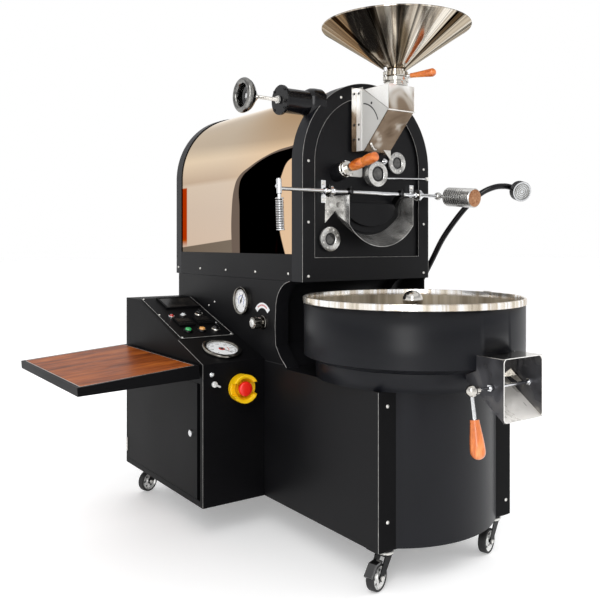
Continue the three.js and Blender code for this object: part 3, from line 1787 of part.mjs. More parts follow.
function estopShroud() {
  const { shroudRadius, shroudWall, shroudProud, backSheet, notchHalfHeight, notchDepth } = estop;
  const bore = estop.neckRadius + runningGap;
  const ring = turn('y', [
    [bore, -seat],
    [shroudRadius, -seat],
    [shroudRadius, -shroudProud],
    [shroudRadius - shroudWall, -shroudProud],
    [shroudRadius - shroudWall, -backSheet],
    [bore, -backSheet],
  ]);
  const notch = block(
    [-shroudRadius - overrun, shroudRadius + overrun],
    [-shroudProud - overrun, -shroudProud + notchDepth],
    [-notchHalfHeight, notchHalfHeight],
  );
  return cut(ring, notch).translate(estop.x, cabinet.frontY, estop.z);
}

function estopHead() {
  const { headRadius, headDepth, headProud, neckRadius: neck, stemRadius, backSheet } = estop;
  const dome = headDepth / 4;
  return turn('y', [
    [0, cabinet.wall + overrun],
    [stemRadius, cabinet.wall + overrun],
    [stemRadius, -backSheet - estop.travel - seat],
    [neck, -backSheet - estop.travel - seat],
    [neck, headDepth - headProud],
    [headRadius, headDepth - headProud],
    [headRadius, dome - headProud],
    [headRadius - dome, -headProud],
    [0, -headProud],
  ], [estop.x, cabinet.frontY, estop.z]);
}

// Gauge and gas knob on the left side of the base

function pressureGauge() {
  const { radius, dial, proud, rim, recess } = gauge;
  return turn('x', [
    [0, -seat],
    [radius - rim, -seat],
    [radius - rim, -proud + 2 * rim],
    [radius, -proud + 2 * rim],
    [radius, -proud],
    [dial, -proud],
    [dial, -proud + recess],
    [0, -proud + recess],
  ], [-body.halfWidth, gauge.y, gauge.z]);
}

function gasValveKnob() {
  const { flangeRadius, flangeDepth, stemRadius } = gasKnob;
  const { gripStart, gripRadius, proud, flutes, fluteRadius } = gasKnob;
  const knob = turn('x', [
    [0, -seat],
    [flangeRadius, -seat],
    [flangeRadius, -flangeDepth],
    [stemRadius, -flangeDepth],
    [stemRadius, -gripStart],
    [gripRadius, -gripStart],
    [gripRadius, -proud + fluteRadius],
    [gripRadius - fluteRadius, -proud],
    [0, -proud],
  ]);
  const cuts = [];
  for (let index = 0; index < flutes; index += 1) {
    cuts.push(rod(
      'x',
      fluteRadius,
      [-proud - overrun, -gripStart + seat],
      [gripRadius + fluteRadius / 2, 0],
      pinFacets / 2,
    ).rotateX((2 * Math.PI * index) / flutes));
  }
  return cut(knob, ...cuts).translate(-body.halfWidth, gasKnob.y, gasKnob.z);
}

// Side table, drooping slightly away from the cabinet

const tableInnerX = cabinetLeft - sideTable.gap;
const tableHinge = [
  cabinetLeft - seat - sideTable.knuckleRadius,
  sideTable.topZ - sideTable.innerDepth + sideTable.knuckleRadius,
];
const tablePlace = new THREE.Matrix4()
  .makeTranslation(tableInnerX, 0, sideTable.topZ)
  .multiply(new THREE.Matrix4().makeRotationY(THREE.MathUtils.degToRad(-sideTable.droop)));

const onTable = (shape) => shape.applyMatrix4(tablePlace);

function tableFrame() {
  const { border, ledge, woodSheet, width } = sideTable;
  const side = prismY([
    [0, 0],
    [-width, 0],
    [-width, -sideTable.outerDepth],
    [0, -sideTable.innerDepth],
  ], [sideTable.frontY, sideTable.rearY]);
  const pocket = block(
    [-width + border, -border],
    [sideTable.frontY + border, sideTable.rearY - border],
    [-woodSheet, overrun],
  );
  const through = block(
    [-width + border + ledge, -border - ledge],
    [sideTable.frontY + border + ledge, sideTable.rearY - border - ledge],
    [-sideTable.innerDepth - overrun, overrun],
  );
  const starts = [
    sideTable.frontY + sideTable.knuckleInset,
    sideTable.rearY - sideTable.knuckleInset - sideTable.knuckleLength,
  ];
  const knuckles = starts.flatMap((y) => {
    const span = [y, y + sideTable.knuckleLength];
    return [
      rod('y', sideTable.knuckleRadius, span, tableHinge, smallFacets),
      block(
        [tableHinge[0] - sideTable.knuckleRadius - sheet, tableHinge[0]],
        span,
        [tableHinge[1] - sideTable.knuckleRadius, tableHinge[1] + sideTable.knuckleRadius],
      ),
    ];
  });
  return join(cut(onTable(side), onTable(pocket), onTable(through)), ...knuckles);
}

function tableTop() {
  const { border, woodSheet, width } = sideTable;
  return onTable(block(
    [-width + border + seat, -border - seat],
    [sideTable.frontY + border + seat, sideTable.rearY - border - seat],
    [-woodSheet + seat, 0],
  ));
}

// Casters, made with the swivel axis at x = y = 0 and the wheel trailing along -x

function casterFork() {
  const { axleRadius, legSheet, legGap, crownRadius, crownHeight, wheelRadius, wheelWidth, trail } = caster;
  const topZ = base.bottomZ - sheet - seat;
  const crownZ = topZ - crownHeight;
  const inner = wheelWidth / 2 + legGap;
  const legs = [-inner - legSheet, inner].map((y) => prismY([
    [crownRadius * Math.SQRT1_2, crownZ + legSheet],
    [-trail + 2 * axleRadius, wheelRadius - axleRadius],
    [-trail, wheelRadius - 2 * axleRadius],
    [-trail - 2 * axleRadius, wheelRadius - axleRadius],
    [-trail - 2 * axleRadius, wheelRadius + axleRadius],
    [-crownRadius, crownZ + legSheet],
  ], [y, y + legSheet]));
  const yoke = block(
    [-crownRadius, crownRadius * Math.SQRT1_2],
    [-inner - legSheet, inner + legSheet],
    [crownZ, crownZ + legSheet],
  );
  const axleEnd = inner + legSheet + axleRadius / 2;
  return join(
    rod('z', crownRadius, [crownZ, topZ], [0, 0]),
    yoke,
    ...legs,
    rod('y', axleRadius, [-axleEnd, axleEnd], [-trail, wheelRadius], pinFacets),
  );
}

// The tread's flats lie at the wheel's radius, and one of them is at the bottom
function casterWheel() {
  const { wheelRadius, wheelWidth, treadDepth, axleRadius, trail } = caster;
  const half = wheelWidth / 2;
  const corner = wheelRadius / Math.cos(Math.PI / roundFacets);
  const rim = corner - treadDepth;
  const bore = axleRadius + seat;
  const wheel = turn('y', [
    [bore, -half],
    [rim, -half],
    [corner, -half / 2],
    [corner, half / 2],
    [rim, half],
    [bore, half],
  ], [0, 0, 0], roundFacets);
  return wheel.rotateY(Math.PI / roundFacets).translate(-trail, 0, wheelRadius);
}

// Assembly

add('base_shell', baseShell(), 'black');
add('front_panel', frontPanel(), 'black');
add('housing_cradle', housingCradle(), 'black');
add('housing_cover', housingCover(), 'bronze');
add('front_plate', frontPlate(), 'black');
add('face_plate', facePlate(), 'black');
add('rear_plate', rearPlate(), 'black');
add('drum', roastingDrum(), 'steel');
add('drum_gearmotor', drumGearmotor(), 'motor');
add('burner', burnerRack(), 'steel');
add('tray_drum', trayDrum(), 'black');
add('tray_pan', trayPan(), 'steel');
add('tray_floor', trayFloor(), 'steel');
add('agitator', trayAgitator(), 'steel');
add('agitator_gearmotor', trayGearmotor(), 'motor');
add('blower', coolingBlower(), 'motor');
add('tray_chute', trayChute(), 'steel');
add('chute_flap', chuteFlap(), 'steel');
add('chute_grip', chuteGrip(), 'wood');
add('hopper', hopperCone(), 'steel');
add('feed_gate', feedGate(), 'wood');
add('inlet_chute', inletChute(), 'steel');
add('bearing_block_left', bearingBlock(-bearingX), 'chrome');
add('bearing_block_right', bearingBlock(bearingX), 'chrome');
add('door_shaft', doorShaft(), 'chrome');
add('spring_handle', springHandle(), 'chrome');
add('discharge_door', dischargeDoor(), 'black');
roaster.add(counterweight());
add('outlet_trough', outletTrough(), 'steel');
add('sight_glass_main', sightGlass(glasses.main), 'steel');
add('sight_glass_upper', sightGlass(glasses.upper), 'steel');
add('sight_glass_lower', sightGlass(glasses.lower), 'steel');
add('trier_bush', trierBush(), 'steel');
add('trier', trierSpoon(), 'steel');
add('trier_grip', trierGrip(), 'wood');
add('exhaust_tube', exhaustTube(), 'black');
add('damper_stem', damperStem(), 'steel');
add('damper_handwheel', damperHandwheel(), 'gloss');
add('gooseneck_lamp', gooseneckLamp(), 'black');

const cabinetUnit = new THREE.Group();
add('cabinet_shell', cabinetShell(), 'black', cabinetUnit);
add('cabinet_door', cabinetDoor(), 'black', cabinetUnit);
cabinetUnit.add(slopeMesh('console_plate', consolePlate(), 'black'));
cabinetUnit.add(slopeMesh('button_green', pushButton(greenButton), 'green'));
cabinetUnit.add(slopeMesh('button_amber', pushButton(amberButton), 'amber'));
cabinetUnit.add(slopeMesh('selector_switch', selectorSwitch(), 'chrome'));
cabinetUnit.add(slopeMesh('dial_thermometer', dialThermometer(), 'chrome'));
add('estop_shroud', estopShroud(), 'yellow', cabinetUnit);
add('estop_head', estopHead(), 'red', cabinetUnit);
add('table_frame', tableFrame(), 'black', cabinetUnit);
add('table_top', tableTop(), 'tableWood', cabinetUnit);
cabinetUnit.position.x = cabinetSide;
roaster.add(cabinetUnit);

add('pressure_gauge', pressureGauge(), 'chrome');
add('gas_knob', gasValveKnob(), 'black');

Object.entries(swivels).forEach(([corner, [x, y]]) => {
  const unit = new THREE.Group();
  add(`caster_fork_${corner}`, casterFork(), 'black', unit);
  add(`caster_wheel_${corner}`, casterWheel(), 'tyre', unit);
  unit.position.set(x, y, 0);
  unit.rotation.z = THREE.MathUtils.degToRad(caster.angle);
  roaster.add(unit);
});

// The origin is the middle of the bottom of the whole machine
roaster.updateMatrixWorld(true);
const reach = new THREE.Box3().setFromObject(roaster, true);
const middle = reach.getCenter(new THREE.Vector3());
roaster.position.set(-middle.x, -middle.y, -reach.min.z);
console.log(`origin shift ${roaster.position.toArray().map((value) => value.toFixed(3)).join(' ')}`);

export default roaster;
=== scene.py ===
import math

import bmesh
import bpy
from mathutils import Matrix, Vector
from mathutils.geometry import tessellate_polygon


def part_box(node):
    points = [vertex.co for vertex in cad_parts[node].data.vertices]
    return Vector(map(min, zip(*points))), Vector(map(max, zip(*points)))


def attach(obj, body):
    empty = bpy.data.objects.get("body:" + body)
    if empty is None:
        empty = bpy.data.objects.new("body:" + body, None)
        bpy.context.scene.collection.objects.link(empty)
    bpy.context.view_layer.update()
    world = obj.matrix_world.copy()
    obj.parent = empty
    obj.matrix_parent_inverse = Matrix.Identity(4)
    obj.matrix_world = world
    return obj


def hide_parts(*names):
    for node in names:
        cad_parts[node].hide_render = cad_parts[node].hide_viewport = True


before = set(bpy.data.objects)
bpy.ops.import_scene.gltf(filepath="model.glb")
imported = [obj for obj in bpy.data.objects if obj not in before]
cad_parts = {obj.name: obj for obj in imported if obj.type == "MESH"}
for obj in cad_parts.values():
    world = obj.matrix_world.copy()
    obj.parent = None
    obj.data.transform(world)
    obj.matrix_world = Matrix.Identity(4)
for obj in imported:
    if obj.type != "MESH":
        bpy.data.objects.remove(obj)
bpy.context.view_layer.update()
print("frame loaded:", len(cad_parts), "nodes")

# Lengths below are millimetres on the machine: x from its middle, y back from the
# housing's front, z up from the floor
mm = 0.001
plateLow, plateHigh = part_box("front_plate")
middleX = (plateLow.x + plateHigh.x) / 2
frontY = plateLow.y


def at(x, y, z):
    return Vector((middleX + x * mm, frontY + y * mm, z * mm))


forward, leftward, rightward = (0, -1, 0), (-1, 0, 0), (1, 0, 0)


# Shapes are (points, faces) pairs, so several can be joined before they become one piece

def joined(*shapes):
    points, faces = [], []
    for morePoints, moreFaces in shapes:
        start = len(points)
        points += [tuple(p) for p in morePoints]
        faces += [tuple(i + start for i in face) for face in moreFaces]
    return points, faces


def moved(shape, x=0, y=0, z=0):
    return [(p[0] + x, p[1] + y, p[2] + z) for p in shape[0]], shape[1]


def aimed(shape, origin, axis, spin=0):
    # what stood along +z now runs along axis from origin
    turn = Vector(axis).to_track_quat("Z", "Y").to_matrix() @ Matrix.Rotation(math.radians(spin), 3, "Z")
    return [tuple(Vector(origin) + turn @ Vector(p)) for p in shape[0]], shape[1]


def placed(shape, matrix):
    return [tuple(matrix @ Vector(p)) for p in shape[0]], shape[1]


def swung(origin, degrees, axis):
    return Matrix.Translation(origin) @ Matrix.Rotation(math.radians(degrees), 4, axis)


def turned(profile, steps=72):
    # profile is (radius, height) pairs; it is closed when it ends where it starts
    closed = tuple(profile[0]) == tuple(profile[-1])
    points, faces, rings = [], [], []
    for radius, height in profile[:-1] if closed else profile:
        if radius < 1e-6:
            rings.append([len(points)])
            points.append((0, 0, height))
            continue
        rings.append(list(range(len(points), len(points) + steps)))
        for i in range(steps):
            angle = 2 * math.pi * i / steps
            points.append((radius * math.cos(angle), radius * math.sin(angle), height))
    if closed:
        rings.append(rings[0])
    for low, high in zip(rings, rings[1:]):
        for i in range(steps):
            j = (i + 1) % steps
            if len(low) == 1 and len(high) == 1:
                continue
            if len(low) == 1:
                faces.append((low[0], high[j], high[i]))
            elif len(high) == 1:
                faces.append((low[i], low[j], high[0]))
            else:
                faces.append((low[i], low[j], high[j], high[i]))
    return points, faces


def lathed(profile, steps, origin, axis, spin=0):
    return aimed(turned(profile, steps), origin, axis, spin)


def slab(outline, low, high, axis="z", holes=()):
    # a flat outline, with holes, given thickness along one axis
    loops = [list(outline)] + [list(hole) for hole in holes]
    place = {
        "x": lambda a, b, c: (c, a, b),
        "y": lambda a, b, c: (a, c, b),
        "z": lambda a, b, c: (a, b, c),
    }[axis]
    flat = [p for loop in loops for p in loop]
    count = len(flat)
    points = [place(a, b, low) for a, b in flat] + [place(a, b, high) for a, b in flat]
    if len(loops) == 1:
        faces = [tuple(range(count - 1, -1, -1)), tuple(range(count, 2 * count))]
    else:
        triangles = tessellate_polygon([[Vector((a, b, 0)) for a, b in loop] for loop in loops])
        faces = [tuple(t) for t in triangles]
        faces += [tuple(i + count for i in reversed(t)) for t in triangles]
    start = 0
    for loop in loops:
        size = len(loop)
        for i in range(size):
            a, b = start + i, start + (i + 1) % size
            faces.append((a, b, b + count, a + count))
        start += size
    return points, faces


def box(x, y, z):
    return slab([(x[0], y[0]), (x[1], y[0]), (x[1], y[1]), (x[0], y[1])], z[0], z[1])


def arcOf(centre, radius, start, end, steps):
    angles = [math.radians(start + (end - start) * i / steps) for i in range(steps + 1)]
    return [(centre[0] + radius * math.cos(a), centre[1] + radius * math.sin(a)) for a in angles]


def roundedBox(a, b, radius, steps=6):
    corners = [((a[1] - radius, b[1] - radius), 0), ((a[0] + radius, b[1] - radius), 90),
               ((a[0] + radius, b[0] + radius), 180), ((a[1] - radius, b[0] + radius), 270)]
    return [p for centre, start in corners for p in arcOf(centre, radius, start, start + 90, steps)]


def smoothed(points, per=8):
    # a soft line through the points
    path = [Vector(p) for p in points]
    ends = [2 * path[0] - path[1]] + path + [2 * path[-1] - path[-2]]
    line = []
    for i in range(1, len(ends) - 2):
        a, b, c, d = ends[i - 1:i + 3]
        for step in range(per):
            t = step / per
            line.append(0.5 * (2 * b + (c - a) * t + (2 * a - 5 * b + 4 * c - d) * t * t
                               + (3 * b - a - 3 * c + d) * t ** 3))
    return line + [path[-1]]


def swept(path, radius, sides=16):
    path = [Vector(p) for p in path]
    radii = radius if isinstance(radius, list) else [radius] * len(path)
    points, faces = [], []
    along = (path[1] - path[0]).normalized()
    out = along.orthogonal().normalized()
    for i, point in enumerate(path):
        before, after = path[max(i - 1, 0)], path[min(i + 1, len(path) - 1)]
        now = (after - before).normalized()
        out = along.rotation_difference(now) @ out
        along = now
        out = (out - along * out.dot(along)).normalized()
        across = along.cross(out)
        for side in range(sides):
            angle = 2 * math.pi * side / sides
            points.append(tuple(point + radii[i] * (out * math.cos(angle) + across * math.sin(angle))))
    for ring in range(len(path) - 1):
        for side in range(sides):
            a, b = ring * sides + side, ring * sides + (side + 1) % sides
            faces.append((a, b, b + sides, a + sides))
    last = (len(path) - 1) * sides
    faces += [tuple(range(sides - 1, -1, -1)), tuple(range(last, last + sides))]
    return points, faces


def soften(piece, width, sharp):
    edge = piece.modifiers.new("edge", "BEVEL")
    edge.width, edge.segments = width * mm, 2
    edge.limit_method, edge.angle_limit = "ANGLE", math.radians(sharp)
    edge.harden_normals = True


def addPiece(name, shape, finish, body="machine", bevel=0.0, sharp=38, replaces=None):
    points, faces = joined(*shape) if isinstance(shape, list) else shape
    mesh = bpy.data.meshes.new(name)
    mesh.from_pydata([at(*p) for p in points], [], faces)
    tool = bmesh.new()
    tool.from_mesh(mesh)
    bmesh.ops.recalc_face_normals(tool, faces=tool.faces)
    tool.to_mesh(mesh)
    tool.free()
    mesh.polygons.foreach_set("use_smooth", [True] * len(mesh.polygons))
    mesh.materials.append(finish)
    piece = bpy.data.objects.new(name, mesh)
    bpy.context.scene.collection.objects.link(piece)
    if bevel:
        soften(piece, bevel, sharp)
    else:
        mesh.set_sharp_from_angle(angle=math.radians(sharp))
    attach(piece, body)
    if replaces:
        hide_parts(replaces)
    return piece


# Finishes

def linear(hexText):
    parts = [int(hexText[i:i + 2], 16) / 255 for i in (1, 3, 5)]
    return tuple(c / 12.92 if c <= 0.04045 else ((c + 0.055) / 1.055) ** 2.4 for c in parts) + (1,)


def addNode(tree, kind, settings=None, links=None):
    # a setting is a property, a socket's value, a ramp's stops or a curve's points; a link
    # comes from an output, or from a node's first output in use
    node = tree.nodes.new("ShaderNode" + kind)
    for key, value in (settings or {}).items():
        if key == "stops":
            elements = node.color_ramp.elements
            while len(elements) < len(value):
                elements.new(0.5)
            for element, (place, hexText) in zip(elements, value):
                element.position = place
                element.color = linear(hexText)
        elif key == "points":
            line = node.mapping.curves[0]
            line.points[0].location, line.points[1].location = value[0], value[-1]
            for point in value[1:-1]:
                line.points.new(*point)
            node.mapping.update()
        elif isinstance(key, str) and hasattr(node, key):
            setattr(node, key, value)
        else:
            node.inputs[key].default_value = linear(value) if isinstance(value, str) else value
    for key, source in (links or {}).items():
        output = next(s for s in source.outputs if s.enabled) if hasattr(source, "outputs") else source
        tree.links.new(output, node.inputs[key])
    return node


shaderInputs = {"metal": "Metallic", "ior": "IOR", "level": "Specular IOR Level", "coat": "Coat Weight",
                "coatRough": "Coat Roughness"}


def newFinish(name):
    material = bpy.data.materials.new(name)
    material.use_nodes = True
    material.node_tree.nodes.clear()
    coords = addNode(material.node_tree, "TexCoord").outputs["Object"]
    return material, material.node_tree, coords


def endFinish(tree, settings, links):
    named = {shaderInputs.get(key, key): value for key, value in settings.items()}
    shader = addNode(tree, "BsdfPrincipled", named, links)
    addNode(tree, "OutputMaterial", {}, {"Surface": shader})
    return shader


def makeFinish(name, dark, light, rough, grain, depth, relief=0.25, cloud=180, stretch=(1, 1, 1), **settings):
    # two colours that the grain mixes, roughness from and to, grain in mm with its stretch,
    # bump depth in mm with its strength, and a second larger cloud in mm for uneven tone
    material, tree, coords = newFinish(name)
    mapping = addNode(tree, "Mapping", {"Scale": stretch}, {"Vector": coords})
    fine = addNode(tree, "TexNoise", {"Scale": 1000 / grain, "Detail": 3.0, "Roughness": 0.6}, {"Vector": mapping})
    broad = addNode(tree, "TexNoise", {"Scale": 1000 / cloud, "Detail": 2.0}, {"Vector": coords})
    blend = addNode(tree, "Math", {"operation": "ADD"}, {0: fine, 1: broad})
    half = addNode(tree, "Math", {"operation": "MULTIPLY", 1: 0.5}, {0: blend})
    endFinish(tree, settings, {
        "Base Color": addNode(tree, "ValToRGB", {"stops": [(0.34, dark), (0.66, light)]}, {"Fac": half}),
        "Roughness": addNode(tree, "MapRange", {
            "From Min": 0.3, "From Max": 0.7, "To Min": rough[0], "To Max": rough[1],
        }, {"Value": half}),
        "Normal": addNode(tree, "Bump", {"Strength": relief, "Distance": depth * mm}, {"Height": fine}),
    })
    return material


# Satin powder coat: a fine orange peel breaks the light, drawn coarser than real to show
blackCoat = makeFinish("satin powder coated steel", "#0b0b0d", "#141416", (0.36, 0.5), 2.2, 0.05, relief=0.35,
    cloud=240, ior=1.5, level=0.14)
# The round sheets carry the same coat rolled smoother, so its cool sheen shows
smoothCoat = makeFinish("smooth powder coated sheet", "#0d0e11", "#15161b", (0.3, 0.42), 2.8, 0.03, relief=0.25,
    cloud=300, ior=1.5, level=0.2)
# Stoved gloss enamel on the hot exhaust
glossCoat = makeFinish("stoved gloss enamel", "#08080a", "#101013", (0.14, 0.24), 6, 0.03, relief=0.2, ior=1.5,
    level=0.26)
# Painted highlight: a pale line laid along edges where they catch the light
paintedEdgeGlint = makeFinish("painted edge highlight", "#6c6b69", "#a5a4a1", (0.35, 0.5), 12, 0.02, relief=0.2, cloud=60,
    ior=1.5)
# The cabinet's coat is a little smoother, as folded sheet is
cabinetCoat = makeFinish("semi matt powder coated sheet", "#08080a", "#0f0f10", (0.36, 0.48), 2.6, 0.04,
    relief=0.25, cloud=300, ior=1.5, level=0.05)
# Phenolic resin: deep black with a hard polish and faint press lines
glossResin = makeFinish("polished phenolic resin", "#060607", "#0c0c0e", (0.08, 0.16), 9, 0.02, relief=0.15,
    ior=1.6, coat=0.5, coatRough=0.05)
# Linished stainless: lines run along the sheet and stretch every highlight
brushedSteel = makeFinish("linished stainless sheet", "#a9a6a1", "#d4d1cb", (0.16, 0.3), 3.2, 0.012, relief=0.3,
    cloud=130, stretch=(0.06, 1, 1), metal=1.0)
# Turned and buffed stainless: near mirror with soft cloudy wipes
polishedSteel = makeFinish("buffed stainless", "#b9b5ae", "#dedbd5", (0.07, 0.16), 7, 0.008, relief=0.15, cloud=60,
    metal=1.0)
# Nickel chrome plate: bright, cool and hard edged
chromePlate = makeFinish("nickel chrome plate", "#c3c4c6", "#e6e7e8", (0.05, 0.11), 5, 0.006, relief=0.12, cloud=40,
    metal=1.0)
# Zinc plated fasteners: dull grey with a yellowish cast
zincPlate = makeFinish("zinc plated steel", "#c9c7c1", "#f3f2ee", (0.28, 0.42), 4, 0.02, relief=0.3, cloud=25,
    metal=0.7)
# Sand cast housings under grey machine enamel: lumpy skin
castPaint = makeFinish("enamelled grey casting", "#2b2f34", "#3d4248", (0.42, 0.6), 3.5, 0.25, relief=0.5, cloud=70,
    ior=1.5)
# Moulded ABS: even colour with a fine spark texture
yellowAbs = makeFinish("moulded yellow ABS", "#f0b800", "#ffd20a", (0.36, 0.46), 1.6, 0.03, relief=0.2, ior=1.53)
redAbs = makeFinish("moulded red ABS", "#e0180f", "#f52f22", (0.24, 0.34), 1.8, 0.02, relief=0.15, ior=1.53)
# Polycarbonate lenses: clear skin over a coloured body
greenLens = makeFinish("green polycarbonate lens", "#0f8040", "#35c96f", (0.1, 0.18), 3, 0.02, ior=1.58, coat=0.6,
    coatRough=0.05)
amberLens = makeFinish("amber polycarbonate lens", "#d8862c", "#f4bf77", (0.1, 0.18), 3, 0.02, ior=1.58, coat=0.6,
    coatRough=0.05)
redLens = makeFinish("red polycarbonate lens", "#8e0f0d", "#e8392c", (0.1, 0.18), 3, 0.02, ior=1.58, coat=0.6,
    coatRough=0.05)
clearLens = makeFinish("clear ribbed lens", "#b9bdbf", "#f1f3f3", (0.08, 0.16), 3, 0.03, ior=1.58, coat=0.6,
    coatRough=0.05)
# Dial plates: white baked enamel, marks screen printed on it
dialWhite = makeFinish("white enamelled dial", "#e4e6e8", "#f6f7f7", (0.3, 0.4), 5, 0.01, ior=1.5)
# the same black also serves as painted shade in grooves and in place of holes
blackInkAndShade = makeFinish("black dial ink and painted shade", "#141416", "#232326", (0.45, 0.6), 2, 0.01, ior=1.5)
blueInk = makeFinish("blue dial ink", "#4d62a8", "#7d8fc9", (0.45, 0.6), 2, 0.01, ior=1.5)
redInk = makeFinish("red dial ink", "#b4372f", "#cf5148", (0.45, 0.6), 2, 0.01, ior=1.5)
# Cast polyurethane tread: dark, dusty and slightly uneven
rubberTread = makeFinish("black polyurethane tread", "#121213", "#212122", (0.55, 0.75), 3, 0.08, relief=0.4,
    cloud=20, ior=1.5)
# Wheel cores: die cast and left bright
castCore = makeFinish("tumbled die cast core", "#dcdcda", "#fafaf8", (0.22, 0.36), 3, 0.04, relief=0.3, cloud=18,
    metal=0.35)
# Column and ball knob: buffed steel gone smoky with coffee oil
smokySteel = makeFinish("oiled buffed steel", "#66635e", "#a3a099", (0.08, 0.18), 9, 0.01, relief=0.15, cloud=30,
    metal=1.0)
# Outlet trough: half matt sheet, polished by the falling beans
troughSteel = makeFinish("bean polished sheet", "#767573", "#e4e3e0", (0.14, 0.28), 40, 0.02, relief=0.2, cloud=90,
    stretch=(1, 0.2, 1), metal=0.8)
# Sight glass: toughened glass in front of a dark, warm drum
darkGlass = makeFinish("toughened sight glass", "#0d0d0d", "#4c4b48", (0.06, 0.12), 26, 0.01, cloud=16, ior=1.52,
    coat=0.5, coatRough=0.04)
# Console screens are off: smoked acrylic
smokedScreen = makeFinish("smoked acrylic screen", "#060607", "#2a2724", (0.16, 0.24), 34, 0.01, cloud=40, ior=1.49,
    level=0.3)
# Copper tinted steel where heat has coloured the polish
heatTint = makeFinish("heat tinted steel", "#8d5a3c", "#c99a76", (0.14, 0.26), 6, 0.01, cloud=14, metal=1.0)
# The trier plate and the gusset are blasted and left matt
greyPlate = makeFinish("bead blasted stainless", "#b9b8b5", "#d2d1cd", (0.42, 0.56), 1.4, 0.05, relief=0.4,
    metal=0.15)
# The same pale stainless also paints highlights and reflections where a face or an edge catches the light
paleSteelAndHighlight = makeFinish("pale satin stainless and painted highlight", "#e3e1dc", "#fbfaf8", (0.28, 0.4), 3, 0.02, relief=0.3, metal=0.3)
# Black nickel: a smoky mirror on the damper wheel and the valve knob
blackNickel = makeFinish("black nickel plate", "#2a2a2b", "#a2a19d", (0.1, 0.2), 16, 0.01, relief=0.2, cloud=30,
    metal=1.0)
gunSteel = makeFinish("oil blackened steel", "#1c1c1d", "#3a3a3b", (0.25, 0.4), 4, 0.02, relief=0.3, cloud=30,
    metal=1.0)


def makeWood(name, tones, figure, figureStretch, pore, poreStretch, rough, **settings):
    # long noise gives the figure, short noise the pores; both run along the grain
    material, tree, coords = newFinish(name)
    figureMap = addNode(tree, "Mapping", {"Scale": figureStretch}, {"Vector": coords})
    drawn = addNode(tree, "TexNoise", {
        "Scale": 1000 / figure, "Detail": 5.0, "Roughness": 0.62, "Distortion": 0.6,
    }, {"Vector": figureMap})
    poreMap = addNode(tree, "Mapping", {"Scale": poreStretch}, {"Vector": coords})
    pores = addNode(tree, "TexNoise", {"Scale": 1000 / pore, "Detail": 2.0}, {"Vector": poreMap})
    endFinish(tree, settings, {
        "Base Color": addNode(tree, "ValToRGB", {"stops": tones}, {"Fac": drawn}),
        "Roughness": addNode(tree, "MapRange", {
            "From Min": 0.3, "From Max": 0.7, "To Min": rough[0], "To Max": rough[1],
        }, {"Value": pores}),
        "Normal": addNode(tree, "Bump", {"Strength": 0.3, "Distance": 0.06 * mm}, {"Height": pores}),
    })
    return material


# Varnished hardwood grips: orange red stain pooled in the grain under clear lacquer
gripWood = makeWood("stained and lacquered beech", [(0.3, "#a54a18"), (0.5, "#dd7a38"), (0.72, "#f2a062")],
                    26, (1, 1, 0.22), 3, (1, 1, 0.15), (0.28, 0.42), ior=1.5, coat=0.5, coatRough=0.1)
gripWoodAcross = makeWood("stained beech, grain across", [(0.3, "#8b3b0c"), (0.5, "#cc6820"), (0.72, "#ea954d")],
                          26, (0.3, 0.3, 1), 3, (0.2, 0.2, 1), (0.28, 0.42), ior=1.5, coat=0.5, coatRough=0.1)
# Table board: oiled walnut with long streaks and a satin top coat
tableWood = makeWood("lacquered walnut board", [
    (0.28, "#4c2107"), (0.44, "#7c3a0f"), (0.58, "#9c5018"), (0.78, "#bd7030"),
], 42, (0.16, 1, 1), 5, (0.06, 1, 1), (0.3, 0.42), ior=1.5, level=0.04)

# Rose gold mirror sheet with a painted reflection of the hall it stands in: a dark doorway beside the front band
# that bends over the arch, its taupe jamb, a low grey bench and a stained post by the rear band, painted into its
# colour.
# They are drawn on it as lines, in metres up and back
hall = {
    "doorway": [(0.921, 0.393), (1.068, 0.395), (1.165, 0.394), (1.19, 0.37), (1.204, 0.339), (1.241, 0.219),
                (1.253, 0.137), (1.259, 0.059), (1.3, 0.0)],
    "jamb": [(0.921, 0.448), (1.07, 0.451), (1.155, 0.43), (1.185, 0.405), (1.22, 0.317), (1.245, 0.225),
             (1.26, 0.137), (1.266, 0.059), (1.3, 0.0)],
    "light": [(0.918, 0.103), (0.957, 0.121), (0.985, 0.132), (1.025, 0.14), (1.138, 0.14), (1.176, 0.121),
              (1.212, 0.091), (1.228, 0.053), (1.26, 0.0), (1.3, 0.0)],
}
hallSize = {"back": 0.5, "foot": 0.9, "tall": 0.4, "sheenTop": 1.48, "benchRise": 0.075}
mirrorRose, tree, coords = newFinish("rose gold mirror steel with painted reflection")
split = addNode(tree, "SeparateXYZ", {}, {"Vector": coords})
upward = split.outputs["Z"]
backward = addNode(tree, "Math", {"operation": "SUBTRACT", 1: frontY}, {0: split.outputs["Y"]})
heightShare = addNode(tree, "MapRange", {
    "From Min": hallSize["foot"], "From Max": hallSize["foot"] + hallSize["tall"],
}, {"Value": upward})
lines = {}
for lineName, line in hall.items():
    drawn = addNode(tree, "FloatCurve", {
        "points": [((z - hallSize["foot"]) / hallSize["tall"], y / hallSize["back"]) for z, y in line],
    }, {"Value": heightShare})
    lines[lineName] = addNode(tree, "Math", {"operation": "MULTIPLY", 1: hallSize["back"]}, {0: drawn})
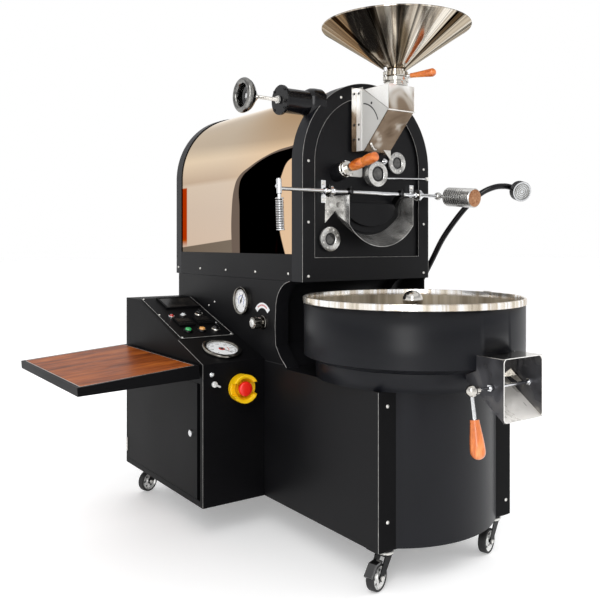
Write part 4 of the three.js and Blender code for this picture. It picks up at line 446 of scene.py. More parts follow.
# painted sheen: the colour grows paler up the arch, in soft bands
sheenShare = addNode(tree, "MapRange", {
    "From Min": hallSize["foot"], "From Max": hallSize["sheenTop"],
}, {"Value": upward})
sheen = addNode(tree, "ValToRGB", {"stops": [
    (0.0, "#d9c4b1"), (0.3, "#d8c6b5"), (0.47, "#dccbb9"), (0.5, "#cdb8a3"), (0.66, "#ecdac2"), (0.82, "#f8ead7"),
    (1.0, "#fbf4ea"),
]}, {"Fac": sheenShare})
rise = addNode(tree, "Math", {"operation": "MULTIPLY", 1: hallSize["benchRise"]}, {0: backward})
benchLine = addNode(tree, "Math", {"operation": "ADD"}, {0: upward, 1: rise})
grainMap = addNode(tree, "Mapping", {"Scale": (0.2, 1.0, 0.05)}, {"Vector": coords})
folds = addNode(tree, "TexNoise", {"Scale": 42.0, "Detail": 3.0}, {"Vector": grainMap})
doorwayReflection = addNode(tree, "ValToRGB", {"stops": [
    (0.4, "#060403"), (0.56, "#0d0706"), (0.66, "#2c1712"), (0.72, "#0b0706"),
]}, {"Fac": folds})
# each layer is a painted reflection and lies over the ones before it, where all its limits hold: the value on which
# side of which edge, and how soft that edge is; in turn a peach band to the front, the bench, the post, the jamb,
# the doorway and a pale patch of light
layers = [
    ("#e8cba9", [(backward, "below", 0.30, 0.25)]),
    ("#867a6e", [(benchLine, "below", 0.9985, 0.0015)]),
    ("#b8561c", [(backward, "above", 0.812, 0.004), (upward, "above", 0.95, 0.02), (upward, "below", 1.172, 0.004)]),
    ("#7a6d64", [(backward, "below", lines["jamb"], 0.002)]),
    (doorwayReflection, [(backward, "below", lines["doorway"], 0.002)]),
    ("#e4c3a1", [(backward, "below", lines["light"], 0.003)]),
]
under, over = 6, 7
picture = sheen
for colour, limits in layers:
    cover = None
    for value, side, edge, soft in limits:
        fixed = isinstance(edge, float)
        gap = addNode(tree, "Math", {"operation": "SUBTRACT", **({1: edge} if fixed else {})},
                      {0: value, **({} if fixed else {1: edge})})
        limit = addNode(tree, "MapRange", {
            "interpolation_type": "SMOOTHSTEP", "From Min": -soft, "From Max": soft,
            "To Min": float(side == "below"), "To Max": float(side == "above"),
        }, {"Value": gap})
        cover = addNode(tree, "Math", {"operation": "MULTIPLY"}, {0: cover, 1: limit}) if cover else limit
    painted = isinstance(colour, str)
    picture = addNode(tree, "Mix", {"data_type": "RGBA", **({over: colour} if painted else {})},
                      {0: cover, under: picture, **({} if painted else {over: colour})})
wipe = addNode(tree, "TexNoise", {"Scale": 1000 / 90, "Detail": 3.0}, {"Vector": coords})
waves = addNode(tree, "TexNoise", {"Scale": 1000 / 260, "Detail": 0.0}, {"Vector": coords})
endFinish(tree, {"metal": 1.0}, {
    "Base Color": picture, "Specular Tint": picture,
    "Roughness": addNode(tree, "MapRange", {"To Min": 0.03, "To Max": 0.09}, {"Value": wipe}),
    "Normal": addNode(tree, "Bump", {"Strength": 0.3, "Distance": 0.4 * mm}, {"Height": waves}),
})


def makeRays(name, centreY, rays, rough, tones, metal):
    # painted reflection: pale and dark streaks that stand round an upright axis, as a curved mirror shows them
    material, tree, coords = newFinish(name)
    centre = (middleX, frontY + centreY * mm, 0)
    centred = addNode(tree, "VectorMath", {"operation": "SUBTRACT", 1: centre}, {0: coords})
    flat = addNode(tree, "VectorMath", {"operation": "MULTIPLY", 1: (1, 1, 0)}, {0: centred})
    heading = addNode(tree, "VectorMath", {"operation": "NORMALIZE"}, {0: flat})
    streaks = addNode(tree, "TexNoise", {"Scale": rays, "Detail": 4.0, "Roughness": 0.62}, {"Vector": heading})
    paintedRayColour = addNode(tree, "ValToRGB", {"stops": tones}, {"Fac": streaks})
    lathe = addNode(tree, "TexNoise", {"Scale": 1000 / 6, "Detail": 2.0}, {"Vector": coords})
    endFinish(tree, {"metal": metal}, {
        "Base Color": paintedRayColour, "Specular Tint": paintedRayColour,
        "Roughness": addNode(tree, "MapRange", {"To Min": rough[0], "To Max": rough[1]}, {"Value": lathe}),
    })
    return material


# Spun and polished stainless cone: the pale and dark rays round it are a painted reflection
spunSteel = makeRays("spun mirror stainless", -130, 3.4, (0.06, 0.16), [
    (0.34, "#14110f"), (0.4, "#6d6257"), (0.44, "#231f1b"), (0.49, "#d6ccbc"), (0.55, "#a3988a"), (0.6, "#ece6db"),
    (0.66, "#4a4239"), (0.74, "#b3a28e"),
], 1.0)
# Painted reflection: the rim and the pan wall carry the room as narrow upright bands in their colour
rimSteel = makeRays("buffed rim band", -207, 3.0, (0.12, 0.24), [
    (0.34, "#a39682"), (0.43, "#e6ddce"), (0.5, "#ffffff"), (0.56, "#cdbfab"), (0.62, "#ffffff"), (0.7, "#b8a992"),
], 0.75)
panSteel = makeRays("satin pan wall", -207, 2.6, (0.3, 0.42), [
    (0.34, "#7b7160"), (0.46, "#a59a88"), (0.54, "#c2b7a5"), (0.62, "#a0947f"), (0.72, "#ded6c8"),
], 0.5)


def makeCreased(name, rough, tones, metal, height=None, facing=None):
    # hand folded mirror sheet: large warped patches of painted reflection that a lift makes paler, by the height
    # in mm or by how far the face looks up or down
    material, tree, coords = newFinish(name)
    patches = addNode(tree, "TexNoise", {"Scale": 1000 / 90, "Detail": 2.0, "Distortion": 0.7}, {"Vector": coords})
    if height:
        split = addNode(tree, "SeparateXYZ", {}, {"Vector": coords})
        lift = addNode(tree, "MapRange", {
            "From Min": height[0] * mm, "From Max": height[1] * mm, "To Min": -0.22, "To Max": 0.22,
        }, {"Value": split.outputs["Z"]})
    else:
        split = addNode(tree, "SeparateXYZ", {}, {"Vector": addNode(tree, "NewGeometry").outputs["Normal"]})
        level = addNode(tree, "Math", {"operation": "ABSOLUTE"}, {0: split.outputs["Z"]})
        lift = addNode(tree, "MapRange", {
            "From Min": facing[0], "From Max": facing[1], "To Min": -0.08, "To Max": 0.3,
        }, {"Value": level})
    total = addNode(tree, "Math", {"operation": "ADD"}, {0: patches, 1: lift})
    tone = addNode(tree, "ValToRGB", {"stops": tones}, {"Fac": total})
    endFinish(tree, {"metal": metal}, {
        "Base Color": tone, "Specular Tint": tone,
        "Roughness": addNode(tree, "MapRange", {"To Min": rough[0], "To Max": rough[1]}, {"Value": patches}),
    })
    return material


# Inlet chute: painted reflection, pale above the fold and brown and dark on the slope below it
inletSteel = makeCreased("folded mirror stainless", (0.12, 0.26), [
    (0.22, "#3f3327"), (0.36, "#6d5d4d"), (0.5, "#7f6f5f"), (0.57, "#aaa196"), (0.68, "#d2cfca"), (0.85, "#f1f0ed"),
], 0.6, height=(1250, 1450))
# Tray chute: painted reflection, dark on its upright sides where it mirrors the machine, and bright on its floor
chuteSteel = makeCreased("folded satin stainless", (0.2, 0.34), [
    (0.2, "#2c2c2e"), (0.42, "#47474a"), (0.58, "#5c5b5b"), (0.7, "#b9b5ad"), (0.85, "#f0ede8"),
], 0.35, facing=(0.1, 0.5))
# Lamp face: white light emitting diodes behind a diffuser
ledFace, tree, coords = newFinish("lamp diffuser")
cells = addNode(tree, "TexVoronoi", {"Scale": 1000 / 9}, {"Vector": coords})
endFinish(tree, {"Base Color": "#c9ccce", "Emission Color": "#ffffff", "Emission Strength": 0.08}, {
    "Roughness": addNode(tree, "MapRange", {"To Min": 0.15, "To Max": 0.4}, {"Value": cells}),
})
print("finishes made:", len(bpy.data.materials))


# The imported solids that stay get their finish, soft edges and smooth round faces
kept = {
    blackCoat: ["base_shell", "face_plate", "rear_plate", "caster_fork_front_left", "caster_fork_front_right",
                "caster_fork_rear_left", "caster_fork_rear_right"],
    smoothCoat: ["front_panel"],
    cabinetCoat: ["cabinet_shell", "cabinet_door", "console_plate", "table_frame"],
    tableWood: ["table_top"],
    brushedSteel: ["drum", "burner", "tray_floor"],
    castPaint: ["drum_gearmotor", "agitator_gearmotor", "blower"],
    chuteSteel: ["tray_chute"],
    inletSteel: ["inlet_chute"],
    polishedSteel: ["trier", "trier_bush"],
    chromePlate: ["bearing_block_left", "bearing_block_right"],
}
edges = {"weld": 0.02, "bevel": 0.7, "sharp": 40}
ownBevel = {"bearing_block_left": 1.2, "bearing_block_right": 1.2, "table_top": 0.8}
sharpOnly = ("tray_floor", "drum", "burner")
for finish, nodeNames in kept.items():
    for nodeName in nodeNames:
        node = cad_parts[nodeName]
        mesh = node.data
        mesh.materials.clear()
        mesh.materials.append(finish)
        if "custom_normal" in mesh.attributes:
            mesh.attributes.remove(mesh.attributes["custom_normal"])
        mesh.polygons.foreach_set("use_smooth", [True] * len(mesh.polygons))
        mesh.polygons.foreach_set("material_index", [0] * len(mesh.polygons))
        node.modifiers.new("weld", "WELD").merge_threshold = edges["weld"] * mm
        if nodeName in sharpOnly:
            node.modifiers.new("sharp", "EDGE_SPLIT").split_angle = math.radians(edges["sharp"])
        else:
            soften(node, ownBevel.get(nodeName, edges["bevel"]), edges["sharp"])
print("packed solids dressed:", sum(map(len, kept.values())))


def screwHead(radius, height):
    # a button head with its socket
    socket = radius * 0.45
    return turned([(0, height * 0.3), (socket * 0.85, height * 0.3), (socket, height),
        (radius * 0.78, height * 0.82), (radius * 0.95, height * 0.45), (radius, 0), (radius, -0.6)], 20)


def screws(name, places, axis, finish, radius=4.6, height=2.6):
    addPiece(name, [aimed(screwHead(radius, height), place, axis) for place in places], finish)


def hexHead(radius, height):
    return joined(turned([(0, height), (radius * 0.86, height), (radius, height * 0.82), (radius, 0), (0, 0)], 6),
        turned([(0, 0.9), (radius * 1.25, 0.9), (radius * 1.25, -0.4), (0, -0.4)], 24))


# Housing
housing = {"half": 271, "archZ": 1208.5, "bottom": 830, "stripTop": 917, "sheet": 3, "frontBand": (3.3, 60),
    "rearBand": (856, 901), "cover": (267.7, 266.2), "coverY": (51, 865), "coverBottom": 901, "ring": 47,
    "railTop": 906, "steps": 96}


def archOutline(radius, bottom, steps=None):
    arc = arcOf((0, housing["archZ"]), radius, 180, 0, steps or housing["steps"])
    return [(-radius, bottom)] + arc + [(radius, bottom)]


def archStrip(outer, inner, bottom, span):
    outline = archOutline(outer, bottom) + list(reversed(archOutline(inner, bottom)))
    return slab(outline, span[0], span[1], "y")


half, sheet = housing["half"], housing["sheet"]
bands = [slab(archOutline(half, housing["bottom"]), span[0], span[1], "y",
    [archOutline(half - sheet, housing["bottom"] + sheet)]) for span in (housing["frontBand"], housing["rearBand"])]
cradleSide = slab([(-half, housing["bottom"]), (half, housing["bottom"]), (half, housing["stripTop"]),
    (half - sheet, housing["stripTop"]), (half - sheet, housing["bottom"] + sheet),
    (sheet - half, housing["bottom"] + sheet), (sheet - half, housing["stripTop"]),
    (-half, housing["stripTop"])], housing["frontBand"][1], housing["rearBand"][0], "y")
addPiece("housing_bands", bands, smoothCoat, bevel=0.9, replaces="housing_cradle")
addPiece("housing_side_strips", cradleSide, blackCoat, bevel=0.7)
outer, inner = housing["cover"]
addPiece("mirror_cover", archStrip(outer, inner, housing["coverBottom"], housing["coverY"]), mirrorRose,
    replaces="housing_cover")
ringInner = half - housing["ring"]
addPiece("arched_front_ring", slab(archOutline(half, housing["bottom"]), 0, 3, "y",
    [archOutline(ringInner, housing["railTop"])]), blackCoat, bevel=1.1, replaces="front_plate")
# painted highlight: pale wires along the recess edge and along the ring's outer edge
recessGlintPath = [(x, 0.3, z) for x, z in archOutline(ringInner - 0.1, housing["railTop"])]
ringPath = [(x, 0.35, z) for x, z in archOutline(half - 0.35, housing["bottom"])]
addPiece("ring_edge_glints", [swept(recessGlintPath + [recessGlintPath[0]], 0.65, 8), swept(ringPath, 0.7, 8)], paintedEdgeGlint)
frontSpots = ((248, 1210), (248, 1018), (248, 848), (119, 1423))
rearSpots = ((235, 1190), (235, 1010), (235, 860), (120, 1395))
screws("ring_screws", [(side * x, 0, z) for side in (-1, 1) for x, z in frontSpots], forward, zincPlate)
for side, sideName in ((-1, "left"), (1, "right")):
    screws(f"side_screws_{sideName}", [(side * half, y, 854) for y in (80, 282, 488, 690, 882)], (side, 0, 0),
        zincPlate)
screws("rear_screws", [(side * x, 899, z) for side in (-1, 1) for x, z in rearSpots], (0, 1, 0), zincPlate)
print("housing done")


# Door gear
gear = {"y": -32, "z": 1116, "left": -379, "bearingX": 190, "armX": 109}
door = {"half": 125, "top": 1095, "bottom": 986, "arc": 165, "rim": 5, "inset": 20, "proud": 12, "armFoot": 1062}
faceY = 8.7


def tubOutline(halfWidth, top, bottom, radius, steps=40):
    centre = bottom + radius
    reach = math.degrees(math.asin(halfWidth / radius))
    return [(-halfWidth, top)] + arcOf((0, centre), radius, 270 - reach, 270 + reach, steps) + [(halfWidth, top)]


def onShaft(shape, x):
    return aimed(shape, (x, gear["y"], gear["z"]), rightward)


rimY = faceY - door["rim"]
leaf = slab(tubOutline(door["half"], door["top"], door["bottom"], door["arc"]), rimY, faceY, "y")
dish = slab(tubOutline(door["half"] - door["inset"], door["top"] - door["inset"] / 2,
    door["bottom"] + door["inset"], door["arc"] - door["inset"]), rimY - door["proud"], rimY, "y")
addPiece("door_leaf", leaf, blackCoat, "discharge_door", 1.0, replaces="discharge_door")
addPiece("door_dish", dish, blackCoat, "discharge_door", 3.0)
armSide = [(gear["y"] - 7, gear["z"]), (gear["y"], gear["z"] - 14), (rimY + 1, door["armFoot"]),
    (rimY + 1, door["top"]), (gear["y"] + 7, gear["z"] + 7)]
arms = [slab(armSide, x - 6, x + 6, "x") for x in (-gear["armX"], gear["armX"])]
addPiece("door_arms", arms, gunSteel, "discharge_door", 1.0)
clamp = turned([(6.2, -6), (12.5, -6), (14, -4.5), (14, 4.5), (12.5, 6), (6.2, 6), (6.2, -6)], 48)
clamps = [onShaft(clamp, x) for x in (-gear["armX"], gear["armX"])]
pins = [lathed([(0, 18), (2.6, 18), (3.2, 17.2), (3.2, 12), (0, 12)], 20, (x, gear["y"], gear["z"]),
    (0, -0.5, 0.86)) for x in (-gear["armX"], gear["armX"])]
addPiece("door_arm_clamps", [*clamps, *pins], gunSteel, "discharge_door")
shaft = turned([(0, 0), (4.8, 0), (6, 1.2), (6, 656.8), (4.8, 658), (0, 658)], 32)
collar = turned([(6.1, -4), (9.6, -4), (10.4, -3), (10.4, 3), (9.6, 4), (6.1, 4), (6.1, -4)], 32)
collarSpots = (-206, -174, 174, 206)
addPiece("door_shaft_rod", [onShaft(shaft, gear["left"]), *[onShaft(collar, x) for x in collarSpots]], chromePlate,
    "discharge_door", replaces="door_shaft")
for side, sideName in ((-1, "left"), (1, "right")):
    bolts = [aimed(hexHead(5.5, 4.5), (side * gear["bearingX"], -0.3, gear["z"] + dz), forward, 12)
        for dz in (-26, 26)]
    addPiece(f"bearing_bolts_{sideName}", bolts, zincPlate)
    cap = turned([(6.4, 5.2), (15.5, 5.2), (16.5, 4.4), (16.5, -4.4), (15.5, -5.2), (6.4, -5.2), (6.4, 5.2)], 48)
    addPiece(f"bearing_face_{sideName}", onShaft(cap, side * gear["bearingX"]), polishedSteel)

# Spring wound handle on the left end
handle = {"x": -379, "top": 1147, "bottom": 990, "springTop": 1084, "coil": 11.2, "wire": 1.5, "turns": 17,
    "stepsPerTurn": 24, "lean": 3.5}
lean = swung((0, gear["y"], gear["z"]), -handle["lean"], "X") @ Matrix.Translation((0, -gear["y"], -gear["z"]))


def onHandle(shape):
    return placed(moved(shape, handle["x"], gear["y"], 0), lean)


bottom, top = handle["bottom"], handle["top"]
core = turned([(0, bottom), (5.5, bottom), (5.5, top - 48), (8, top - 46), (8, top - 2), (6.4, top), (0, top)], 40)
discs = [turned([(5, z), (12, z), (13, z + 1), (13, z + 3), (12, z + 4), (5, z + 4), (5, z)], 40)
    for z in (bottom, handle["springTop"])]
sleeve = turned([(5.6, bottom + 4.2), (7.4, bottom + 4.2), (7.4, handle["springTop"] - 0.2),
    (5.6, handle["springTop"] - 0.2), (5.6, bottom + 4.2)], 32)
addPiece("spring_sleeve", onHandle(sleeve), blackInkAndShade, "discharge_door")
bore = lathed([(0, 10.5), (5, 10.5), (6, 9.5), (6, 0), (0, 0)], 24, (0, 0, top - 24), leftward)
addPiece("spring_handle_core", [*map(onHandle, [core, *discs, bore])], chromePlate, "discharge_door")
coilLow, coilHigh = bottom + 4.3 + handle["wire"], handle["springTop"] - 0.3 - handle["wire"]
coilSteps = handle["turns"] * handle["stepsPerTurn"]
coilRound = arcOf((0, 0), handle["coil"], 0, 360 * handle["turns"], coilSteps)
coil = [(x, y, coilHigh - (coilHigh - coilLow) * i / coilSteps) for i, (x, y) in enumerate(coilRound)]
addPiece("spring_coil", onHandle(swept(coil, handle["wire"], 10)), chromePlate, "discharge_door",
    replaces="spring_handle")

# Grooved counterweight on the right end
weight = {"x": 286.3, "start": 50, "end": 170, "radius": 32.5, "grooves": 8, "depth": 5, "share": 0.66, "droop": 5}
length = weight["end"] - weight["start"]
pitch = length * weight["share"] / weight["grooves"]
radius, deep = weight["radius"], weight["radius"] - weight["depth"]
profile = [(0, weight["start"]), (radius - 3, weight["start"]), (radius, weight["start"] + 3)]
for i in range(weight["grooves"]):
    z = weight["start"] + 3 + (i + 0.5) * pitch
    profile += [(radius, z), (radius - 0.6, z + 0.3), (deep, z + pitch * 0.08), (deep, z + pitch * 0.42),
        (radius - 0.6, z + pitch * 0.5 - 0.3), (radius, z + pitch * 0.5)]
profile += [(radius, weight["end"] - 3), (radius - 3, weight["end"]), (0, weight["end"])]
droop = math.radians(weight["droop"])
weightAxis = (0, -math.cos(droop), -math.sin(droop))
weightAt = (weight["x"], gear["y"], gear["z"])
ball = turned([(0, -14)] + arcOf((0, 0), 14, -80, 80, 16) + [(0, 14)], 40)
neck = turned([(6.5, 8), (6.5, 49), (9, 50)], 32)
nut = turned([(6.4, 40), (10.5, 40), (11.5, 41), (11.5, 48), (10.5, 49), (6.4, 49)], 6)
addPiece("counterweight_body", [aimed(s, weightAt, weightAxis) for s in (turned(profile, 72), neck, nut, ball)],
    troughSteel, "discharge_door", replaces="counterweight")
addPiece("counterweight_end", lathed([(0, 170.5), (27, 170.5), (29, 170.2), (29, 169.6)], 64, weightAt, weightAxis),
    heatTint, "discharge_door")
# painted shade: black rings laid in the floors of the grooves
shade = [turned([(deep + 0.1, z - 0.19 * pitch), (deep + 2.4, z - 0.19 * pitch), (deep + 2.4, z + 0.19 * pitch),
    (deep + 0.1, z + 0.19 * pitch), (deep + 0.1,
    z - 0.19 * pitch)], 64) for z in [weight["start"] + 3 + (i + 0.75) * pitch for i in range(weight["grooves"])]]
addPiece("counterweight_groove_shade", aimed(joined(*shade), weightAt, weightAxis), blackInkAndShade, "discharge_door")

# Outlet trough under the door, sloping forward
trough = {"half": 137, "mouth": -65, "cheek": 1105, "bottom": 940, "arc": 168, "slope": 0.514, "ear": 178,
    "earLow": 1016, "earHigh": 1058}


def sheared(shape):
    return ([(x, y, z + trough["slope"] * (y - trough["mouth"])) for x, y, z in shape[0]], shape[1])


def tubSheet(extra):
    outer = tubOutline(trough["half"], trough["cheek"] + extra, trough["bottom"], trough["arc"])
    inner = tubOutline(trough["half"] - 1.5, trough["cheek"] + extra, trough["bottom"] + 1.5, trough["arc"] - 1.5)
    return outer + list(reversed(inner))


channel = sheared(slab(tubSheet(0), trough["mouth"], faceY, "y"))
channel = ([(x, y, min(z, trough["cheek"])) for x, y, z in channel[0]], channel[1])
ears = [slab([(side * (trough["half"] - 1), trough["cheek"]), (side * trough["ear"], trough["cheek"]),
    (side * trough["ear"], trough["earLow"]),
    (side * (trough["half"] - 1), trough["earHigh"])], faceY - 1.5, faceY, "y") for side in (-1, 1)]
addPiece("outlet_trough_sheet", [channel, *ears], troughSteel, replaces="outlet_trough")
addPiece("trough_disc", lathed([(0, 3.4), (6, 3.4), (8.5, 2.4), (9, 0.8), (9, 0), (0, 0)], 40,
    (-152, faceY - 1.5, 1076), forward), paleSteelAndHighlight)
screws("trough_screws", [(side * 166, faceY - 1.5, z) for side in (-1, 1) for z in (1092, 1052)], forward,
    zincPlate, radius=4, height=2.2)
print("door gear done")


# Sight glasses
boltCount = 8
glasses = {"main": {"x": 19, "z": 1181, "radius": 42, "front": 32, "glass": 25, "rim": 13, "barrel": 38},
    "upper": {"x": 123, "z": 1225, "radius": 37.5, "front": 11.7, "glass": 20, "rim": 7, "barrel": 34},
    "lower": {"x": -163, "z": 965, "radius": 39.5, "front": 11.7, "glass": 20, "rim": 7, "barrel": 36}}
for glassName, glass in glasses.items():
    outer, front, opening = glass["radius"], glass["front"], glass["glass"]
    ring = turned([(0, front - 5), (opening, front - 5), (opening, front - 1.2), (opening + 1.2, front),
        (outer - 2, front), (outer - 0.6, front - 0.6), (outer, front - 2), (outer, front - glass["rim"] + 1),
        (outer - 1, front - glass["rim"]), (glass["barrel"], front - glass["rim"]), (glass["barrel"], 0),
        (0, 0)], 80)
    centre = (glass["x"], faceY, glass["z"])
    addPiece(f"sight_glass_ring_{glassName}", aimed(ring, centre, forward), troughSteel,
        replaces=f"sight_glass_{glassName}")
    well = turned([(0, front - 4.6), (opening - 0.2, front - 4.6), (opening - 0.2, front - 1.4),
        (opening, front - 1.4), (opening, front - 4.9), (0, front - 4.9)], 64)
    addPiece(f"sight_seal_{glassName}", aimed(well, centre, forward), blackInkAndShade)
    pane = turned([(0, front - 2.2), (opening * 0.5, front - 2.4), (opening * 0.76, front - 3),
        (opening * 0.76, front - 4.5), (0, front - 4.5)], 64)
    addPiece(f"sight_pane_{glassName}", aimed(pane, centre, forward), darkGlass)
    halfStep = 180 / boltCount
    circle = arcOf((glass["x"], glass["z"]), (outer + opening) / 2, halfStep, 360 - halfStep, boltCount - 1)
    spots = [(x, faceY - front, z) for x, z in circle]
    screws(f"sight_bolts_{glassName}", spots, forward, zincPlate, radius=3.4, height=2.4)

# Thermocouple rod across the face and the small fittings round the glasses
probe = {"from": (61, -4, 1170), "to": (259, -4, 1177), "radius": 2.6}
addPiece("probe_rod", swept([probe["from"], probe["to"]], probe["radius"], 16), chromePlate)
addPiece("probe_clamps", [lathed([(0, 9), (5.5, 9), (7, 7.5), (7, -3.5), (0, -3.5)], 6, (259, -0.6, 1177), forward),
    lathed([(0, 11), (4.5, 11), (6, 9.5), (6, -4.4), (0, -4.4)], 24, (66, 4.4, 1170.2), forward)], zincPlate)
addPiece("glass_latch_knob", [lathed([(0, 12), (5, 12), (6.5, 10.5), (6.5, 3), (3, 2), (3, 0), (0, 0)], 32,
    (72, faceY, 1228), forward), lathed([(0, 4), (9, 4), (10, 3), (10, 0), (0, 0)], 40, (72, faceY, 1228),
    forward)], chromePlate)
# Sample spoon: blasted plate, collar details and its turned grip
trier = {"x": -130, "y": 9, "z": 1178, "axis": (0, -0.982612797, 0.185666615), "grip": 118, "radius": 17,
    "waist": 12, "start": 79.9}
addPiece("trier_plate", slab(roundedBox((-112, -25), (1170, 1215), 6), faceY - 2.5, faceY, "y"), greyPlate,
    bevel=0.6)
profile = [(0, trier["start"]), (8.6, trier["start"]), (9.8, trier["start"] + 1.2)]
for i in range(1, 48):
    share = i / 48
    swell = abs(math.sin(2 * math.pi * share)) ** 0.5
    profile.append((trier["waist"] + (trier["radius"] - trier["waist"]) * swell,
        trier["start"] + trier["grip"] * share))
profile += [(9, trier["start"] + trier["grip"] - 0.6), (0, trier["start"] + trier["grip"])]
trierCollar = turned([(15.5, 40.5), (23.5, 40.5), (24.8, 42), (24.8, 47), (23, 48.5), (23, 54), (24.6, 55.5),
    (24.6, 60.5), (23, 62), (15.5, 62), (15.5, 40.5)], 64)
trierAt = (trier["x"], trier["y"], trier["z"])
addPiece("trier_handle", lathed(profile, 48, trierAt, trier["axis"]), gripWoodAcross, "trier",
    replaces="trier_grip")
addPiece("trier_collar", aimed(trierCollar, trierAt, trier["axis"]), polishedSteel, "trier_bush")
addPiece("trier_collar_pin", lathed([(0, 28), (3, 28), (4, 27), (4, 21), (0, 21)], 24,
    Vector(trierAt) + Vector(trier["axis"]) * 51, (0, 0.186, 0.983)), chromePlate, "trier_bush")
print("face fittings done")


# Hopper
hopper = {"y": -130, "rimZ": 1639, "rim": 236, "bead": 2.6, "coneZ": 1500, "neck": 33, "bore": 30, "collar": 39,
    "gateZ": (1476.2, 1479.8), "footZ": 1450.3, "foot": 38}
beadR, beadZ = hopper["rim"] - hopper["bead"], hopper["rimZ"] - hopper["bead"]
cone = turned([(hopper["bore"], hopper["gateZ"][1]), (hopper["collar"] - 1, hopper["gateZ"][1]),
    (hopper["collar"], hopper["gateZ"][1] + 1), (hopper["collar"], 1492), (hopper["collar"] - 1, 1493),
    (hopper["neck"], 1493), (hopper["neck"], hopper["coneZ"]),
    (beadR, beadZ - hopper["bead"])] + arcOf((beadR, beadZ), hopper["bead"], -80, 90,
    10) + [(beadR - 1.5, beadZ + hopper["bead"]), (beadR - 1.5, beadZ - hopper["bead"] + 1.5),
    (hopper["bore"], hopper["coneZ"] + 1.5), (hopper["bore"], hopper["gateZ"][1])], 128)
foot = turned([(hopper["bore"], hopper["footZ"]), (hopper["foot"], hopper["footZ"]),
    (hopper["foot"], hopper["footZ"] + 4), (hopper["neck"] + 1, hopper["footZ"] + 5),
    (hopper["neck"], hopper["footZ"] + 6), (hopper["neck"], 1463), (hopper["collar"] - 1, 1463),
    (hopper["collar"], 1464), (hopper["collar"], hopper["gateZ"][0] - 1),
    (hopper["collar"] - 1, hopper["gateZ"][0]), (hopper["bore"], hopper["gateZ"][0]),
    (hopper["bore"], hopper["footZ"])], 96)
addPiece("hopper_cone", moved(cone, 0, hopper["y"]), spunSteel, replaces="hopper")
addPiece("hopper_foot", moved(foot, 0, hopper["y"]), polishedSteel)
lugs = [box(sorted((side * 34, side * 47)), (hopper["y"] - 9, hopper["y"] + 9), heights) for side in (-1, 1)
    for heights in ((1464, 1476), (1480, 1492))]
addPiece("hopper_lugs", lugs, polishedSteel, bevel=1.5)
knobs = [moved(turned([(0, 1506), (5, 1506), (6.5, 1504.5), (6.5, 1493), (3, 1493), (3, 1464), (0, 1464)], 28),
    side * 42, hopper["y"]) for side in (-1, 1)]
addPiece("hopper_lug_screws", knobs, chromePlate)

# Feed gate: a thin slide and its wooden grip, at 20 degrees to the front
gate = {"angle": -70, "half": 31.9, "z": 1478, "start": 52, "length": 86, "neck": 7.4, "belly": 13, "steps": 16}
gateTurn = swung((0, hopper["y"], 0), gate["angle"], "Z")
plateR = gate["half"]
plateOutline = [(0, -plateR)] + arcOf((0, 0), plateR, -90, -270, 40)[1:-1] + [(0, plateR), (40, plateR), (44, 27),
    (44, -27), (40, -plateR)]
slide = slab(plateOutline, gate["z"] - 1.5, gate["z"] + 1.5)
addPiece("gate_slide", placed(slide, gateTurn), polishedSteel, "feed_gate", 0.4, replaces="feed_gate")
stem = lathed([(0, 0), (5, 0), (5, 10), (7, 12), (7, 15), (0, 15)], 32, (39, 0, gate["z"]), rightward)
addPiece("gate_stem", placed(stem, gateTurn), chromePlate, "feed_gate")
end = gate["start"] + gate["length"]
bellyX = end - gate["belly"]
neckX = gate["start"] + 1.5
gripLine = [(0, gate["start"]), (6.5, gate["start"]), (gate["neck"], neckX)]
for i in range(1, gate["steps"]):
    share = i / gate["steps"]
    gripLine.append((gate["neck"] + (gate["belly"] - gate["neck"]) * share ** 1.25,
        neckX + (bellyX - neckX) * share))
gripLine += arcOf((0, bellyX), gate["belly"], 0, 84, 14) + [(0, end)]
grip = lathed(gripLine, 48, (0, 0, gate["z"]), rightward)
addPiece("gate_grip", placed(grip, gateTurn), gripWoodAcross, "feed_gate")

# Inlet chute trim: bolts, gusset, slot plate and lip
inletZ = (1440, 1338, 1290)
screws("inlet_bolts", [(side * 66, -1.8, z) for side in (-1, 1) for z in inletZ], forward, gunSteel, radius=4,
    height=2.6)
screws("inlet_strip_bolts", [(-57.6, -16, z) for z in inletZ], leftward, gunSteel, radius=4, height=2.2)
# a real flange strip, painted pale as its highlight
addPiece("inlet_strip", box((-57.6, -55.9), (-30, -3), (1252, 1449)), paleSteelAndHighlight, bevel=0.5)
gusset = slab([(-3, 1447), (-40, 1447), (-156, 1371), (-38, 1252), (-3, 1252)], -56, -54.6, "x")
addPiece("inlet_gusset", gusset, greyPlate, bevel=0.4)
# painted shade: a black inlay stands in for the slot and the hole through the gusset
slot = slab(arcOf((-24, 1317), 89.6, 98.6, 163, 20) + arcOf((-24, 1317), 85.8, 163, 98.6, 20), -56.4, -55.9, "x")
spot = slab(arcOf((-77, 1400), 4.2, 360, 15, 23), -56.4, -55.9, "x")
addPiece("inlet_slot", [slot, spot], blackInkAndShade)
# painted reflection: thin pale sheets laid on the upper sides of the chute, where the steel mirrors the white room
for side, sideName in ((-1, "left"), (1, "right")):
    cheek = slab([(-42, 1448.5), (-156.5, 1448.5), (-156.5, 1372)], side * 54.2, side * 55.4, "x")
    addPiece(f"inlet_cheek_{sideName}", cheek, paleSteelAndHighlight, bevel=0.3)
addPiece("inlet_fold_ledge", box((-56, 56), (-160, -156), (1367, 1370)), paleSteelAndHighlight, bevel=0.6)
addPiece("inlet_lip", [box((-6, 54), (-47, -41), (1262, 1266)),
    slab([(18, 1262), (54, 1262), (54, 1226)], -46, -44, "y")], polishedSteel, bevel=0.6)
hinge = swept(smoothed([(-46, -50, 1290), (-44, -58, 1278), (-40, -60, 1266), (-30, -56, 1258), (-18, -52, 1256)],
    6), 5, 12)
addPiece("inlet_hinge", hinge, polishedSteel)
print("hopper and inlet done")


